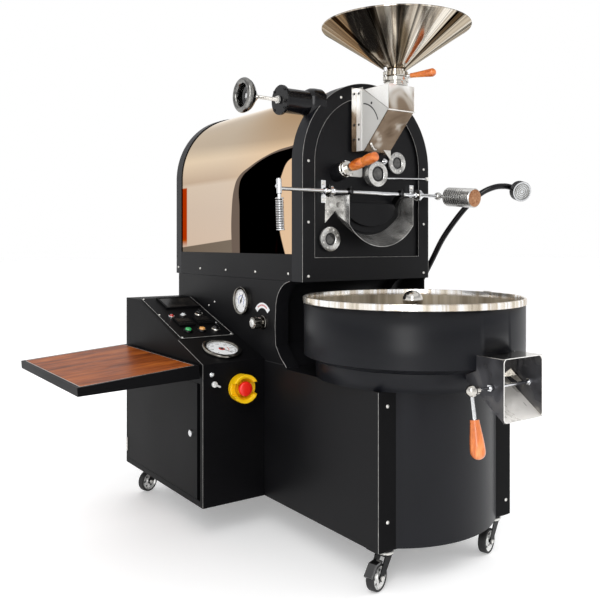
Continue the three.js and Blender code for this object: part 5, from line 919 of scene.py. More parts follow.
# Exhaust stub, damper stem and dished handwheel
exhaust = {"y": 48, "z": 1400, "flangeX": -325, "thread": 1.1, "threadFrom": 330, "threadLength": 110}
tubeAt = (0, exhaust["y"], exhaust["z"])
tube = turned([(36, 136), (39, 136), (39, 316), (46, 316), (47, 317), (47, 324), (46, 325), (8.5, 325),
    (8.5, 327.5), (6.4, 327.5), (6.4, 316), (36, 316), (36, 136)], 80)
saddle = turned([(39, 176), (50, 176), (50, 200), (48.5, 212), (44, 221), (39, 226)], 80)
addPiece("exhaust_pipe", aimed(tube, tubeAt, leftward), glossCoat, replaces="exhaust_tube")
addPiece("exhaust_saddle", aimed(saddle, tubeAt, leftward), glossCoat)
spots = [(exhaust["flangeX"], y, z) for y, z in arcOf(tubeAt[1:], 41, 45, 315, 3)]
screws("exhaust_bolts", spots, leftward, gunSteel, radius=4.4, height=3.6)
threads = [(4.9 + exhaust["thread"] * (i % 2), exhaust["threadFrom"] + i * exhaust["thread"])
    for i in range(int(exhaust["threadLength"] / exhaust["thread"]))]
stem = turned([(0, 288), (6, 288), (6, 330)] + threads + [(6, 441), (5, 444), (0, 444)], 32)
disc = turned([(0, 284), (30, 284), (30, 288), (0, 288)], 56)
addPiece("damper_screw", aimed(joined(stem, disc), tubeAt, leftward), polishedSteel, "damper_stem",
    replaces="damper_stem")
ringRound = [(43.4 + 10.1 * x, 456 + 11 * z) for x, z in arcOf((0, 0), 1, 200, -90, 40)]
ring = turned([(33, 441)] + ringRound + [(33, 441)], 112)
dish = turned([(6.3, 412), (13.5, 412), (15, 413.5), (20, 419), (34, 429), (44, 437), (49, 444), (40, 446),
    (33, 440), (24, 434), (17, 430), (15, 432), (15, 444.5), (13.6, 446), (0, 446), (0, 436), (6.3, 436),
    (6.3, 412)], 96)
addPiece("damper_dish", aimed(dish, tubeAt, leftward), glossResin, "damper_wheel",
    replaces="damper_handwheel")
addPiece("damper_ring", aimed(ring, tubeAt, leftward), blackNickel, "damper_wheel")
cap = turned([(0, 448.4), (5, 448.2), (8.4, 447.2), (9.4, 445.6), (0, 445.6)], 40)
addPiece("damper_cap", aimed(cap, tubeAt, leftward), chromePlate, "damper_wheel")
nut = turned([(7.6, 327.6), (12, 327.6), (13, 328.6), (13, 335), (12, 336), (7.6, 336), (7.6, 327.6)], 6)
addPiece("damper_gland", aimed(nut, tubeAt, leftward), zincPlate)
print("exhaust done")


# Cooling tray
tray = {"y": -207, "outlet": 62, "steps": 192}


def trayShell(profile, gapAt=None):
    # a turned wall, open in front where the chute takes the beans
    points, faces = turned(profile, tray["steps"])
    if gapAt:
        low, high = gapAt
        faces = [f for f in faces if not (
            all(abs(points[i][0]) < tray["outlet"] + 0.5 for i in f) and all(points[i][1] < 0 for i in f)
            and all(low - 0.1 <= points[i][2] <= high + 0.1 for i in f))]
    return moved((points, faces), 0, tray["y"])


bandLine = [(336, 770), (336, 646), (336, 613), (300, 597), (300, 546.3)]
bandPiece = addPiece("tray_band", trayShell(bandLine, (597, 646)), smoothCoat,
    replaces="tray_drum")
wall = bandPiece.modifiers.new("sheet", "SOLIDIFY")
wall.thickness = 2.6 * mm
wall.offset = -1
rimLine = turned([(332.7, 770.8), (338, 770.8), (339, 771.8), (339, 786.5), (338, 788.8), (336.2, 789.5),
    (333, 789.5), (331.6, 788.8), (331, 787), (331, 770.8)], tray["steps"])
addPiece("tray_rim", moved(rimLine, 0, tray["y"]), rimSteel, replaces="tray_pan")
panLine = [(331.2, 787), (331.2, 646), (331.2, 616.5), (295.2, 601.1), (286, 599.6)]
addPiece("tray_pan_wall", trayShell(panLine, (599.6, 646)), panSteel)
skirt = turned([(60, 546.3), (299.5, 546.3), (299.5, 549), (60, 549), (60, 546.3)], 96)
addPiece("tray_underside", moved(skirt, 0, tray["y"]), blackCoat)
cheeks = [box((side * 62 - 1.2, side * 62 + 1.2), (-541, -498), (598, 646)) for side in (-1, 1)]
addPiece("tray_outlet_cheeks", [*cheeks, box((-63, 63), (-541, -536), (644.8, 647))], brushedSteel)
screws("tray_rim_clip", [(338, tray["y"] - 20, 779)], rightward, zincPlate, radius=4)
clip = moved(box((326, 337), (-14, 14), (789.3, 792)), 0, tray["y"] - 8)
addPiece("tray_clip", clip, zincPlate, bevel=0.8)

# Agitator: ball knob on its column, arms, blades and brushes
agitator = {"ball": 31.5, "ballZ": 775, "armZ": 640, "arms": 3, "lean": 24}
stirColumn = turned([(0, 605), (24, 605), (26, 607), (26, 652), (22, 657), (16.5, 660), (16, 664),
    (16, 748)] + arcOf((0, agitator["ballZ"]), agitator["ball"], -58, 88,
    26) + [(0, agitator["ballZ"] + agitator["ball"])], 64)
addPiece("agitator_column", moved(stirColumn, 0, tray["y"]), polishedSteel, "agitator",
    replaces="agitator")
armParts, bladeParts, brushParts = [], [], []
for i in range(agitator["arms"]):
    spin = swung((0, tray["y"], 0), 90 + 120 * i, "Z")
    armParts.append(placed(box((18, 288), (-8, 8), (640, 652)), spin))
    tilt = swung((0, 0, agitator["armZ"]), agitator["lean"], "X")
    bladeParts.append(placed(placed(box((60, 280), (-1.6, 1.6), (-33, 2)), tilt), spin))
    brushParts.append(placed(box((190, 286), (9, 15), (606, 641)), spin))
addPiece("agitator_arms", armParts, brushedSteel, "agitator", 1.2)
addPiece("agitator_blades", bladeParts, brushedSteel, "agitator", 0.6)
addPiece("agitator_brushes", brushParts, rubberTread, "agitator", bevel=1.0)

# Tray flap with its shaft, ball hub and wooden lever
flap = {"lean": 8, "gripStart": 72, "grip": 100, "neck": 12, "belly": 19.4, "steps": 20}
flapAt = (-152, -585, 573)
plate = box((-70, 70), (-547.5, -546), (584, 640))
flapArms = [slab([(-590, 573), (-585, 568), (-546.7, 584), (-546.7, 608), (-585, 578)], x - 4, x + 4, "x")
    for x in (-50, 50)]
addPiece("flap_plate", [plate, *flapArms], polishedSteel, "chute_flap", 0.5, replaces="chute_flap")
rod = turned([(0, 0), (5, 0), (5, 228), (4, 234), (0, 234)], 32)
nuts = [turned([(4.8, z), (9, z), (10, z + 1), (10, z + 6), (9, z + 7), (4.8, z + 7), (4.8, z)], 6)
    for z in (66, 222)]
addPiece("flap_shaft", aimed(joined(rod, *nuts), flapAt, rightward), chromePlate, "chute_flap")
hubBall = turned([(0, -15.9)] + arcOf((0, 0), 16, -78, 78, 20) + [(0, 15.9)], 48)
collar = turned([(5.2, 10), (9.5, 10), (10.5, 11), (10.5, 24), (9.5, 25), (5.2, 25)], 40)
addPiece("flap_hub", [moved(hubBall, *flapAt), aimed(collar, flapAt, rightward)], polishedSteel, "chute_flap")
hood = slab([(-79, -627), (79, -627), (79, -545.5), (-79, -545.5)], 651.1, 652.6)
addPiece("chute_hood", hood, polishedSteel, bevel=0.5)
# painted highlight: a pale wire round the chute's mouth
mouth = roundedBox((-77, 77), (486.6, 651.8), 12, 8)
addPiece("chute_mouth_edge", swept([(x, -627.2, z) for x, z in mouth + [mouth[0]]], 1.1, 8), paleSteelAndHighlight)
leverTurn = swung(flapAt, -flap["lean"], "X")
rod = turned([(0, -88), (5, -88), (5, -14), (7.5, -12), (7.5, -4), (0, -4)], 32)
addPiece("flap_lever", placed(rod, leverTurn), chromePlate, "chute_flap")
top, bottom = -flap["gripStart"], -flap["gripStart"] - flap["grip"]
bellyZ = bottom + flap["belly"]
line = [(5.3, top - 10), (5.3, top), (10.8, top), (12, top - 1.2)]
for i in range(1, flap["steps"]):
    share = i / flap["steps"]
    swell = math.sin(share * math.pi / 2) ** 1.4
    line.append((flap["neck"] + (flap["belly"] - flap["neck"]) * swell, top - 1.2 + (bellyZ - top + 1.2) * share))
line += arcOf((0, bellyZ), flap["belly"], 0, -86, 18) + [(0, bottom)]
addPiece("flap_lever_grip", placed(turned(line, 56), leverTurn), gripWood, "chute_flap",
    replaces="chute_grip")
addPiece("flap_lever_ferrule", placed(turned([(5.2, top + 1), (9, top + 1), (10.4, top + 0.2), (11.4, top - 5),
    (11.9, top - 5.2)], 48), leverTurn), chromePlate, "chute_flap")
# painted shade: black disks stand in for the holes in the chute's sides
chuteHoles = [slab(arcOf((y, z), 4.6, 360, 15, 23), side * 77 - 0.4, side * 77 + 0.4, "x") for side in (-1, 1)
    for y, z in ((-566, 627), (-582, 607))]
addPiece("chute_holes", chuteHoles, blackInkAndShade)
print("tray done")


# Control cabinet and its console
console = {"slope": 18.494, "footY": 222, "footZ": 564}
slope = math.radians(console["slope"])
slopeTurn = Matrix.Translation((0, console["footY"], console["footZ"])) @ Matrix.Rotation(slope, 4, "X")


def alongSlope(y):
    return (y - console["footY"]) / math.cos(slope)


def onSlope(shape, x=0, y=None, out=0):
    return placed(moved(shape, x, alongSlope(y) if y is not None else 0, out), slopeTurn)


def digits(text, size, thick=0.3):
    # printed numbers as thin raised shapes
    curve = bpy.data.curves.new("digits", "FONT")
    curve.body, curve.size, curve.extrude = text, size, thick
    curve.align_x, curve.align_y = "CENTER", "CENTER"
    holder = bpy.data.objects.new("digits", curve)
    bpy.context.scene.collection.objects.link(holder)
    bpy.context.view_layer.update()
    mesh = bpy.data.meshes.new_from_object(holder.evaluated_get(bpy.context.evaluated_depsgraph_get()))
    shape = ([tuple(v.co) for v in mesh.vertices], [tuple(p.vertices) for p in mesh.polygons])
    bpy.data.objects.remove(holder)
    bpy.data.meshes.remove(mesh)
    bpy.data.curves.remove(curve)
    return shape


dialSweep = {"start": 225, "end": -45}


def ticks(radius, length, width, count, skip=0):
    marks = []
    for i in range(count + 1):
        if skip and i % skip == 0:
            continue
        mark = box((radius - length, radius), (-width / 2, width / 2), (0, 0.35))
        marks.append(placed(mark, swung((0, 0, 0),
            dialSweep["start"] + (dialSweep["end"] - dialSweep["start"]) * i / count, "Z")))
    return joined(*marks)


def numbersRound(values, radius, size):
    places = arcOf((0, 0), radius, dialSweep["start"], dialSweep["end"], len(values) - 1)
    return joined(*[moved(digits(value, size), *place) for value, place in zip(values, places)])


def needle(length, tail, width, turn):
    shape = slab([(-tail, -width), (-tail, width), (length, width * 0.25), (length, -width * 0.25)], 0.9, 1.6)
    return placed(shape, swung((0, 0, 0), turn, "Z"))


thermometerAt = (-388, 307)
ring = turned([(0, 4.2), (53, 4.2), (53.4, 9.4), (55, 10.4), (58, 11), (64, 11), (67, 9.4), (68, 7), (68, 2.4),
    (66, 1), (62, 0.3), (0, 0.3)], 96)
addPiece("thermometer_ring", onSlope(ring, *thermometerAt), smokySteel, replaces="dial_thermometer")
face = turned([(0, 4.9), (52.8, 4.9), (52.8, 4.3)], 80)
addPiece("thermometer_face", onSlope(face, *thermometerAt), dialWhite)
marks = joined(ticks(50, 5, 0.7, 60, 5), ticks(50, 8, 1.3, 12),
    numbersRound(["0", "50", "100", "150", "200", "250", "300"], 35, 8.5))
addPiece("thermometer_marks", onSlope(marks, *thermometerAt, 4.8), blackInkAndShade)
redArc = joined(slab(arcOf((0, 0), 25, 20, -45, 20) + arcOf((0, 0), 23, -45, 20, 20), 0, 0.3),
    slab(arcOf((0, 0), 11, 0, 360, 40)[:-1], 0, 0.3))
addPiece("thermometer_red_band", onSlope(redArc, *thermometerAt, 4.8), redInk)
pointer = joined(needle(42, 12, 1.2, 300), turned([(0, 3.6), (4, 3.6), (5, 2.6), (5, 0), (0, 0)], 32))
addPiece("thermometer_needle", onSlope(pointer, *thermometerAt, 4.9), blackInkAndShade)

# Console panel: screws, screen, controllers and the buttons
panelTop = 2.0
corners = [(x, y) for x in (-482, -292) for y in (413, 742)] + [(-482, 600)]
screwSpots = [tuple(slopeTurn @ Vector((x, alongSlope(y), panelTop))) for x, y in corners]
slopeOut = (0, -math.sin(slope), math.cos(slope))
screws("console_screws", screwSpots, slopeOut, zincPlate, radius=4, height=2.4)
screen = slab(roundedBox((-426.5, -303.5), (-41.5, 41.5), 3), 7.1, 7.6)
addPiece("console_screen", onSlope(screen, 0, 690, 0), smokedScreen, bevel=0.2)
for unitName, x, y in (("left", -421, 524), ("right", -345, 528)):
    window = slab(roundedBox((-25, 25), (-4, 24), 2.5), 9, 9.9)
    keys = [moved(slab(roundedBox((-5, 5), (-3.4, 3.4), 2), 9, 10.6), dx, -18) for dx in (-19, -6.4, 6.4, 19)]
    addPiece(f"controller_window_{unitName}", onSlope(window, x, y), smokedScreen, bevel=0.3)
    addPiece(f"controller_keys_{unitName}", onSlope(joined(*keys), x, y), gunSteel, bevel=0.6)
# round push buttons in plain bezels
pushTop = turned([(0, 14.6), (6, 14.4), (9.4, 13.4), (10.5, 11.6), (10.5, -8), (0, -8)], 48)
bezelRing = turned([(10.9, 6), (11.4, 8.6), (12.6, 9.2), (15, 8.6), (16.6, 6.4), (16.6, 2), (10.9, 2), (10.9, 6)],
    56)
for colour, x, y, lensFinish in (("green", -438, 458, greenLens), ("amber", -386, 455, amberLens)):
    addPiece(f"{colour}_push", onSlope(pushTop, x, y), lensFinish, f"{colour}_button",
        replaces=f"button_{colour}")
    addPiece(f"{colour}_push_bezel", onSlope(bezelRing, x, y), gunSteel)
skirtLine = turned([(0, 13), (9.6, 13), (11.5, 11.6), (11.5, 7.2), (10.3, 7.2), (10.3, -8), (0, -8)], 48)
bar = slab(roundedBox((-4, 4), (-12, 12), 3), 12, 26)
selectorAt, secondAt = (-331, 455), (-333, 582)
addPiece("selector_knob", [onSlope(skirtLine, *selectorAt), onSlope(bar, *selectorAt)], glossResin, "selector",
    0.8, replaces="selector_switch")
addPiece("selector_line", onSlope(box((-0.7, 0.7), (2, 11.4), (26, 26.4)), *selectorAt), dialWhite, "selector")
addPiece("selector_bezel", onSlope(bezelRing, *selectorAt), polishedSteel)
lampDome = turned([(0, 13.4), (5, 12.6), (7.6, 10.4), (8.4, 7), (8.4, 2), (0, 2)], 40)
lampRing = turned([(8.6, 2), (8.6, 7.4), (9.6, 8), (11.6, 7), (12.2, 2)], 44)
for lampName, x, y, lampFinish in (("red", -446, 576, redLens), ("clear", -398, 580, clearLens)):
    addPiece(f"pilot_{lampName}", onSlope(lampDome, x, y), lampFinish)
    addPiece(f"pilot_ring_{lampName}", onSlope(lampRing, x, y), chromePlate)
knob = joined(turned([(0, 16), (8, 16), (9.4, 14.8), (9.8, 8), (11.5, 7), (11.5, 2), (0, 2)], 40),
    slab(roundedBox((-3.2, 3.2), (-10, 10), 2.4), 16, 22))
addPiece("second_selector", onSlope(knob, *secondAt), glossResin, bevel=0.6)
addPiece("second_selector_ring", onSlope(bezelRing, *secondAt), polishedSteel)
# painted highlights: pale wires along the edges of the console sheet and of the cabinet's folds
panelEdge = [(x, alongSlope(y), 2.0) for x, y in ((-488, 748), (-488, 407), (-286, 407), (-286, 748))]
foldEdge = [(-502.3, 0.4, -0.4), (-502.3, alongSlope(402), -0.4)]
glints = [swept([tuple(slopeTurn @ Vector(p)) for p in line], size, 8) for line,
    size in ((panelEdge[:2], 0.9), (panelEdge[1:3], 0.9), (panelEdge[2:], 0.9), (foldEdge, 0.7))]
upright = swept([(-502.4, 222.3, 106), (-502.4, 222.3, 563)], 0.6, 8)
addPiece("console_edge_glints", [*glints, upright], paintedEdgeGlint)

# Cabinet front: emergency stop, pilot, key switch; door lock on the left
stopAt = (-365, 222, 478)
wallLine = [(45, -0.3), (46.5, 20), (46.5, 37.6), (45.4, 39), (40.2, 39), (35, 36.4), (29.5, 20), (26, 8), (25, 4),
    (13, 4), (13, -0.3)]
shroud = turned(wallLine + [wallLine[0]], 96)


def notched(shape):
    # the shroud is cut away left and right so that fingers reach the head
    points, faces = shape
    lowered = []
    for x, y, z in points:
        if abs(y) < 18 and z > 17:
            z = 17 if z < 37.8 else 18.4
        lowered.append((x, y, z))
    return (lowered, faces)


addPiece("stop_shroud", aimed(notched(shroud), stopAt, forward), yellowAbs, replaces="estop_shroud")
head = turned([(0, 41.8), (10, 41.4), (19, 40.4), (22.6, 38.6), (24, 36), (24, 29), (22.6, 27.4), (12, 27),
    (12, 10.6), (10, 10.4), (10, -3.4), (0, -3.4)], 72)
addPiece("stop_head", aimed(head, stopAt, forward), redAbs, "estop", replaces="estop_head")
collarRing = turned([(13.2, 4), (13.2, 9), (22, 9), (24, 7), (24, 4), (13.2, 4)], 56)
addPiece("stop_collar", aimed(collarRing, stopAt, forward), yellowAbs)
whiteLamp = turned([(0, 5), (3.2, 4.6), (5, 3), (5, 0), (0, 0)], 36)
addPiece("front_pilot", aimed(whiteLamp, (-471, 222, 530), forward), clearLens)
addPiece("front_pilot_ring", lathed([(5, 0), (5, 3.2), (6.2, 3.6), (7.6, 2.6), (8, 0)], 40, (-471, 222, 530),
    forward), chromePlate)
key = joined(turned([(0, 8), (8.5, 8), (9.6, 6.8), (9.6, 0), (0, 0)], 40),
    slab(roundedBox((-3, 3), (-17, 7), 2.4), 8, 17))
addPiece("key_switch", aimed(key, (-462, 222, 498), forward, 62), castCore, bevel=0.4)
cam = joined(turned([(0, 5), (9, 5), (11, 3.6), (11.4, 0), (0, 0)], 44),
    slab(roundedBox((-1.2, 1.2), (-7, 7), 1), 5, 5.9))
addPiece("door_lock", aimed(cam, (-502.8, 306, 330), leftward), chromePlate, "cabinet_door")
hinges = [moved(turned([(0, 0), (4, 0), (4, 50), (0, 50)], 24), -504, 851, z) for z in (150, 425)]
addPiece("door_hinges", hinges, zincPlate, "cabinet_door")
screws("cabinet_side_screws", [(-271, y, z) for y, z in ((618, 716), (573, 732))], leftward, zincPlate, radius=3.6)
print("cabinet done")

# Gas gauge, its blank plate and the valve knob on the left side of the base
gaugeAt = (-271, 360, 750)
ring = turned([(0, 9.5), (40.4, 9.5), (40.6, 14.4), (42, 15.6), (47.5, 16), (49, 14.4), (49, 9), (48, 7.8),
    (45, 7.6), (45, -0.3), (0, -0.3)], 88)
addPiece("gauge_case", aimed(ring, gaugeAt, leftward), smokySteel, replaces="pressure_gauge")
face = turned([(0, 10.3), (40.2, 10.3), (40.2, 9.7)], 72)
addPiece("gauge_face", aimed(face, gaugeAt, leftward), dialWhite)
marks = joined(ticks(38, 4.5, 0.7, 50, 5), ticks(38, 6.5, 1.2, 10),
    numbersRound(["0", "2", "4", "6", "8", "10"], 25.5, 7.5))
gaugeTurn = Matrix(((0, 0, -1, gaugeAt[0]), (-1, 0, 0, gaugeAt[1]), (0, 1, 0, gaugeAt[2]), (0, 0, 0, 1)))
addPiece("gauge_marks", placed(moved(marks, 0, 0, 10.25), gaugeTurn), blackInkAndShade)
pointer = joined(needle(32, 10, 2.2, 58), turned([(0, 3), (3, 3), (3.8, 2.2), (3.8, 0), (0, 0)], 28))
addPiece("gauge_needle", placed(moved(pointer, 0, 0, 10.3), gaugeTurn), blackInkAndShade)
blueRing = slab(arcOf((0, 0), 19, dialSweep["start"], dialSweep["end"], 36) + arcOf((0, 0), 16.4, dialSweep["end"],
    dialSweep["start"], 36), 10.25, 10.5)
addPiece("gauge_band", placed(blueRing, gaugeTurn), blueInk)
knobAt = (-271, 231, 685)
flange = turned([(0, 6), (22.6, 6), (24, 4.8), (24, -0.3), (0, -0.3)], 64)
points, faces = turned([(0, 45), (16.5, 45), (19, 43.8), (20, 41.6), (20, 15), (19, 14), (9, 14), (9, 5), (0, 5)],
    90)
fluted = []
for x, y, z in points:
    reach = math.hypot(x, y)
    if reach > 18.5:
        wave = max(0.0, math.cos(9 * math.atan2(y, x))) ** 3 * 2.4
        x, y = x * (1 - wave / reach), y * (1 - wave / reach)
    fluted.append((x, y, z))
addPiece("valve_knob", [aimed(flange, knobAt, leftward), aimed((fluted, faces), knobAt, leftward)], smokySteel,
    "gas_knob", replaces="gas_knob")
addPiece("valve_knob_face", lathed([(0, 46), (12.5, 46), (13.6, 45.4), (13.6, 44.9)], 56, knobAt, leftward),
    castCore, "gas_knob")
scaleAt = (235, 693)
blank = slab(arcOf(scaleAt, 58, 38, 142, 24) + arcOf(scaleAt, 40, 142, 38, 24), -271.9, -271.1, "x")
addPiece("valve_scale_plate", blank, dialWhite, bevel=0.15)
dashes = []
for middle in range(58, 123, 8):
    low, high = middle - 2.4, middle + 2.4
    dashes.append(slab(arcOf(scaleAt, 52, low, high, 3) + arcOf(scaleAt, 47, high, low, 3), -272.15, -271.8, "x"))
addPiece("valve_scale_marks", dashes, redInk)

# Base details: front bolts and the seam line of the throat
baseFront = -359
screws("front_panel_bolts", [(-238, baseFront, 504), (-238, baseFront, 185), (251, baseFront, 152),
    (251, baseFront, 504)], forward, zincPlate, radius=5.5, height=3.4)
# painted highlights: pale wires down the base's front corners
cornerEdge = [swept([(x, baseFront, 106), (x, baseFront, 545)], 0.8, 8) for x in (-270.7, 270.7)]
addPiece("base_edge_glints", cornerEdge, paintedEdgeGlint)
addPiece("throat_liner", box((262, 264), (12, 215), (765, 829.5)), blackCoat)
# painted highlight: a pale wire along the edge of the throat
throatLine = [(90, 552), (153.5, 616)] + arcOf((60.5, 736.8), 93, 0, 84, 24)
addPiece("throat_edge_glint", swept(smoothed([(-270.8, y, z) for y, z in throatLine], 2), 0.8, 8), paintedEdgeGlint)
strips = [box(sorted((side * 207, side * 270.4)), (baseFront - 0.4, baseFront + 0.4), (106, 545.4))
    for side in (-1, 1)]
addPiece("base_corner_strips", strips, cabinetCoat)
seam = [box((side * 271.4 - 0.4, side * 271.4 + 0.4), (108, 216), (556.8, 559.2)) for side in (-1, 1)]
addPiece("throat_seams", seam, blackInkAndShade)

# Table fittings
table = {"inner": -510.8, "top": 563, "droop": 4.37}
tableTurn = swung((table["inner"], 0, table["top"]), -table["droop"], "Y")
endCap = box((-393.6, -378), (838, 845), (-27, 0.6))
addPiece("table_end_cap", placed(endCap, tableTurn), glossResin, "side_table", bevel=1.5)
trim = slab([(-381.5, 244.5), (-11.5, 244.5), (-11.5, 832.5), (-381.5, 832.5)], -0.6, 0.25, "z",
    [[(-380, 246), (-13, 246), (-13, 831), (-380, 831)]])
addPiece("table_trim", placed(trim, tableTurn), zincPlate, "side_table")
print("cabinet fittings, gauge and table done")


# Casters
caster = {"wheel": 37.5, "trail": 45, "angle": 18}
swivels = {"front_left": (-222, -330), "front_right": (222, -330), "rear_left": (-402, 804),
    "rear_right": (222, 804)}
for cornerName, (x, y) in swivels.items():
    corner = swung((x, y, 0), caster["angle"], "Z")
    axle = corner @ swung((-caster["trail"], 0, caster["wheel"]), 90, "X")
    tyre = turned([(31.4, -12.5), (35, -12.5), (36.8, -11), (37.5, -8), (37.5, 8), (36.8, 11), (35, 12.5),
        (31.4, 12.5), (31.4, -12.5)], 72)
    addPiece(f"tyre_{cornerName}", placed(tyre, axle), rubberTread, f"caster_wheel_{cornerName}",
        replaces=f"caster_wheel_{cornerName}")
    web = turned([(5.3, -10), (9.5, -10), (11, -8.5), (12, -5), (26, -4), (29, -7), (31.4, -10), (31.4, 10),
        (29, 7), (26, 4), (12, 5), (11, 8.5), (9.5, 10), (5.3, 10), (5.3, -10)], 60)
    # painted shade: black disks stand in for the holes through the core
    holes = [lathed([(0, 5.3), (3.4, 5.3), (3.4, 4), (0, 4)], 20, (px, py, 0), (0, 0, side)) for side in (-1, 1)
        for px, py in arcOf((0, 0), 19, 0, 300, 5)]
    addPiece(f"core_{cornerName}", placed(web, axle), castCore, f"caster_wheel_{cornerName}")
    addPiece(f"core_holes_{cornerName}", placed(joined(*holes), axle), blackInkAndShade, f"caster_wheel_{cornerName}")
    nuts = [lathed([(0, 4.5), (6, 4.5), (7, 3.6), (7, 0), (0, 0)], 6, (0, 0, side * 17.5), (0, 0, side))
        for side in (-1, 1)]
    addPiece(f"axle_nuts_{cornerName}", placed(joined(*nuts), axle), zincPlate, f"caster_swivel_{cornerName}")
    race = turned([(14, 91), (25.2, 91), (25.8, 92.5), (25.8, 96), (24, 98), (14, 98)], 60)
    addPiece(f"race_{cornerName}", moved(race, x, y), zincPlate, f"caster_swivel_{cornerName}")
pedalTurn = swung((*swivels["front_left"], 0), caster["angle"], "Z")
pedal = slab([(-92, 52), (-66, 80), (-34, 82), (-30, 76), (-62, 72), (-86, 46)], -13, 13, "y")
addPiece("brake_pedal", placed(pedal, pedalTurn), glossResin, "caster_swivel_front_left", bevel=1.8)
print("casters done")


# Lamp on its bent neck
neckRadius = 10
route = [(283, 186, 650), (286, 180, 690), (288, 150, 728), (288, 100, 775), (296, 52, 830), (308, 20, 890),
    (320, -20, 965), (335, -66, 1030), (352, -110, 1083), (376, -150, 1124), (408, -180, 1144), (444, -196, 1148),
    (474, -203, 1144)]
path = smoothed(route, 26)
ribbed = [neckRadius - 0.5 * (i % 2) for i in range(len(path))]
addPiece("lamp_neck", swept(path, ribbed, 24), glossCoat, sharp=60, replaces="gooseneck_lamp")
footRing = turned([(0, 0.3), (20, 0.3), (20, 9), (17, 12), (12, 14), (0, 14)], 56)
addPiece("lamp_foot", [aimed(footRing, (271, 186, 650), rightward),
    swept([(279, 186, 650), (283, 186, 650), (283.4, 185.6, 656)], 11, 24)], blackCoat)
lampFace = Vector((468, -249, 1127))
aim = Vector((-0.357, -0.905, -0.233))
headLine = [(0, -52), (14, -52), (17, -50), (22, -42), (31, -30), (34, -25), (34, -20), (32.6, -19), (32.6, -16),
    (34, -15), (34, -11), (32.6, -10), (32.6, -7), (34, -6), (34, -0.8), (33, 0), (31, 0), (29.6, -3.6), (0, -3.6)]
addPiece("lamp_head", lathed(headLine, 64, lampFace, aim), glossCoat)
addPiece("lamp_lens", lathed([(0, -1.2), (12, -1.5), (24, -2.4), (29.4, -3.4)], 56, lampFace, aim), ledFace)
rings = [turned([(r - 0.8, -2.6), (r - 0.8, 0.3), (r + 0.8, 0.3), (r + 0.8, -2.6), (r - 0.8, -2.6)], 56)
    for r in (7, 13.5, 20, 26)]
addPiece("lamp_rings", aimed(joined(*rings), lampFace, aim), smokySteel)
addPiece("lamp_bezel", lathed([(29.4, -3.2), (29.8, -0.2), (31.4, 0.4), (33, 0)], 64, lampFace, aim), chromePlate)
print("lamp done")


# Stage: pale floor, white surroundings, soft lights
floorMesh = bpy.data.meshes.new("floor")
reach = 40
floorCorners = [(-reach, -reach, 0), (reach, -reach, 0), (reach, reach, 0), (-reach, reach, 0)]
floorMesh.from_pydata(floorCorners, [], [(0, 1, 2, 3)])
floor = bpy.data.objects.new("floor", floorMesh)
bpy.context.scene.collection.objects.link(floor)
floorFinish, tree, coords = newFinish("pale studio floor")
mottle = addNode(tree, "TexNoise", {"Scale": 3.0}, {"Vector": coords})
shader = endFinish(tree, {"Base Color": (0.9, 0.9, 0.9, 1), "level": 0.2}, {
    "Roughness": addNode(tree, "MapRange", {"To Min": 0.55, "To Max": 0.65}, {"Value": mottle}),
})
# the floor glows a little where it is looked at, and lights nothing by it
rays = addNode(tree, "LightPath").outputs
seen = addNode(tree, "Math", {"operation": "MAXIMUM"}, {0: rays["Is Camera Ray"], 1: rays["Is Glossy Ray"]})
seenThrough = addNode(tree, "Math", {"operation": "MAXIMUM"}, {0: seen, 1: rays["Is Transmission Ray"]})
strength = addNode(tree, "Math", {"operation": "MULTIPLY", 1: 0.26}, {0: seenThrough})
glow = addNode(tree, "Emission", {"Color": "#ffffff"}, {"Strength": strength})
both = addNode(tree, "AddShader", {}, {0: shader, 1: glow})
output = next(n for n in tree.nodes if n.bl_idname == "ShaderNodeOutputMaterial")
tree.links.new(both.outputs["Shader"], output.inputs["Surface"])
floorMesh.materials.append(floorFinish)

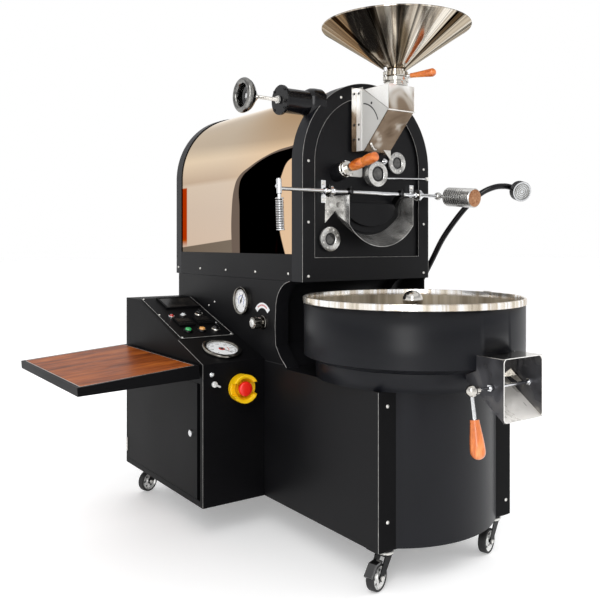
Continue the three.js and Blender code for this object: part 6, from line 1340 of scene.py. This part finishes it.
world = bpy.data.worlds.new("studio")
bpy.context.scene.world = world
world.use_nodes = True
tree = world.node_tree
tree.nodes.clear()
studio = {"plain": 0.95, "seen": 1.0}
direction = addNode(tree, "TexCoord").outputs["Generated"]
sky = addNode(tree, "ValToRGB", {"stops": [
    (0.0, "#ffffff"), (0.3, "#ffffff"), (0.45, "#cfcfd1"), (0.6, "#c4c4c6"), (0.75, "#ffffff"), (1.0, "#ffffff"),
]}, {"Fac": addNode(tree, "SeparateXYZ", {}, {"Vector": direction}).outputs["Z"]})
rays = addNode(tree, "LightPath").outputs
direct = addNode(tree, "Math", {"operation": "MAXIMUM"}, {0: rays["Is Camera Ray"], 1: rays["Is Transmission Ray"]})
white = addNode(tree, "Background", {"Color": "#ffffff", "Strength": studio["seen"]})
soft = addNode(tree, "Background", {"Strength": studio["plain"]}, {"Color": sky})
bright = addNode(tree, "Background", {"Strength": studio["seen"]}, {"Color": sky})
shine = addNode(tree, "MixShader", {}, {"Fac": rays["Is Glossy Ray"], 1: soft, 2: bright})
whole = addNode(tree, "MixShader", {}, {"Fac": direct, 1: shine, 2: white})
addNode(tree, "OutputWorld", {}, {"Surface": whole})

lights = {
    "key": {"at": (-2.6, -2.7, 2.5), "size": (1.3, 4.2), "power": 95, "shine": True},
    "fill": {"at": (3.0, -1.8, 2.4), "size": (2.2, 2.2), "power": 42, "shine": False},
    "back": {"at": (0.4, 3.4, 3.0), "size": (2.2, 2.2), "power": 40, "shine": False},
}
aimPoint = Vector((0, 0, 0.8))
for lightName, setup in lights.items():
    light = bpy.data.lights.new(lightName, "AREA")
    light.shape, light.energy = "RECTANGLE", setup["power"]
    light.size, light.size_y = setup["size"]
    holder = bpy.data.objects.new(lightName, light)
    holder.visible_glossy = setup["shine"]
    holder.location = setup["at"]
    holder.rotation_euler = (aimPoint - Vector(setup["at"])).to_track_quat("-Z", "Y").to_euler()
    bpy.context.scene.collection.objects.link(holder)

camera = {"lens": 44.79, "sensor": 36, "shift": -0.0956, "turn": -34.83, "at": (-1.40387, -2.08608, 0.9535),
          "near": 0.05, "far": 200}
lens = bpy.data.cameras.new("camera")
lens.lens, lens.sensor_width, lens.shift_y = camera["lens"], camera["sensor"], camera["shift"]
lens.clip_start, lens.clip_end = camera["near"], camera["far"]
holder = bpy.data.objects.new("camera", lens)
holder.location = camera["at"]
holder.rotation_euler = (math.radians(90), 0, math.radians(camera["turn"]))
bpy.context.scene.collection.objects.link(holder)
bpy.context.scene.camera = holder
bpy.context.scene.view_settings.view_transform = "Standard"
print("stage done")
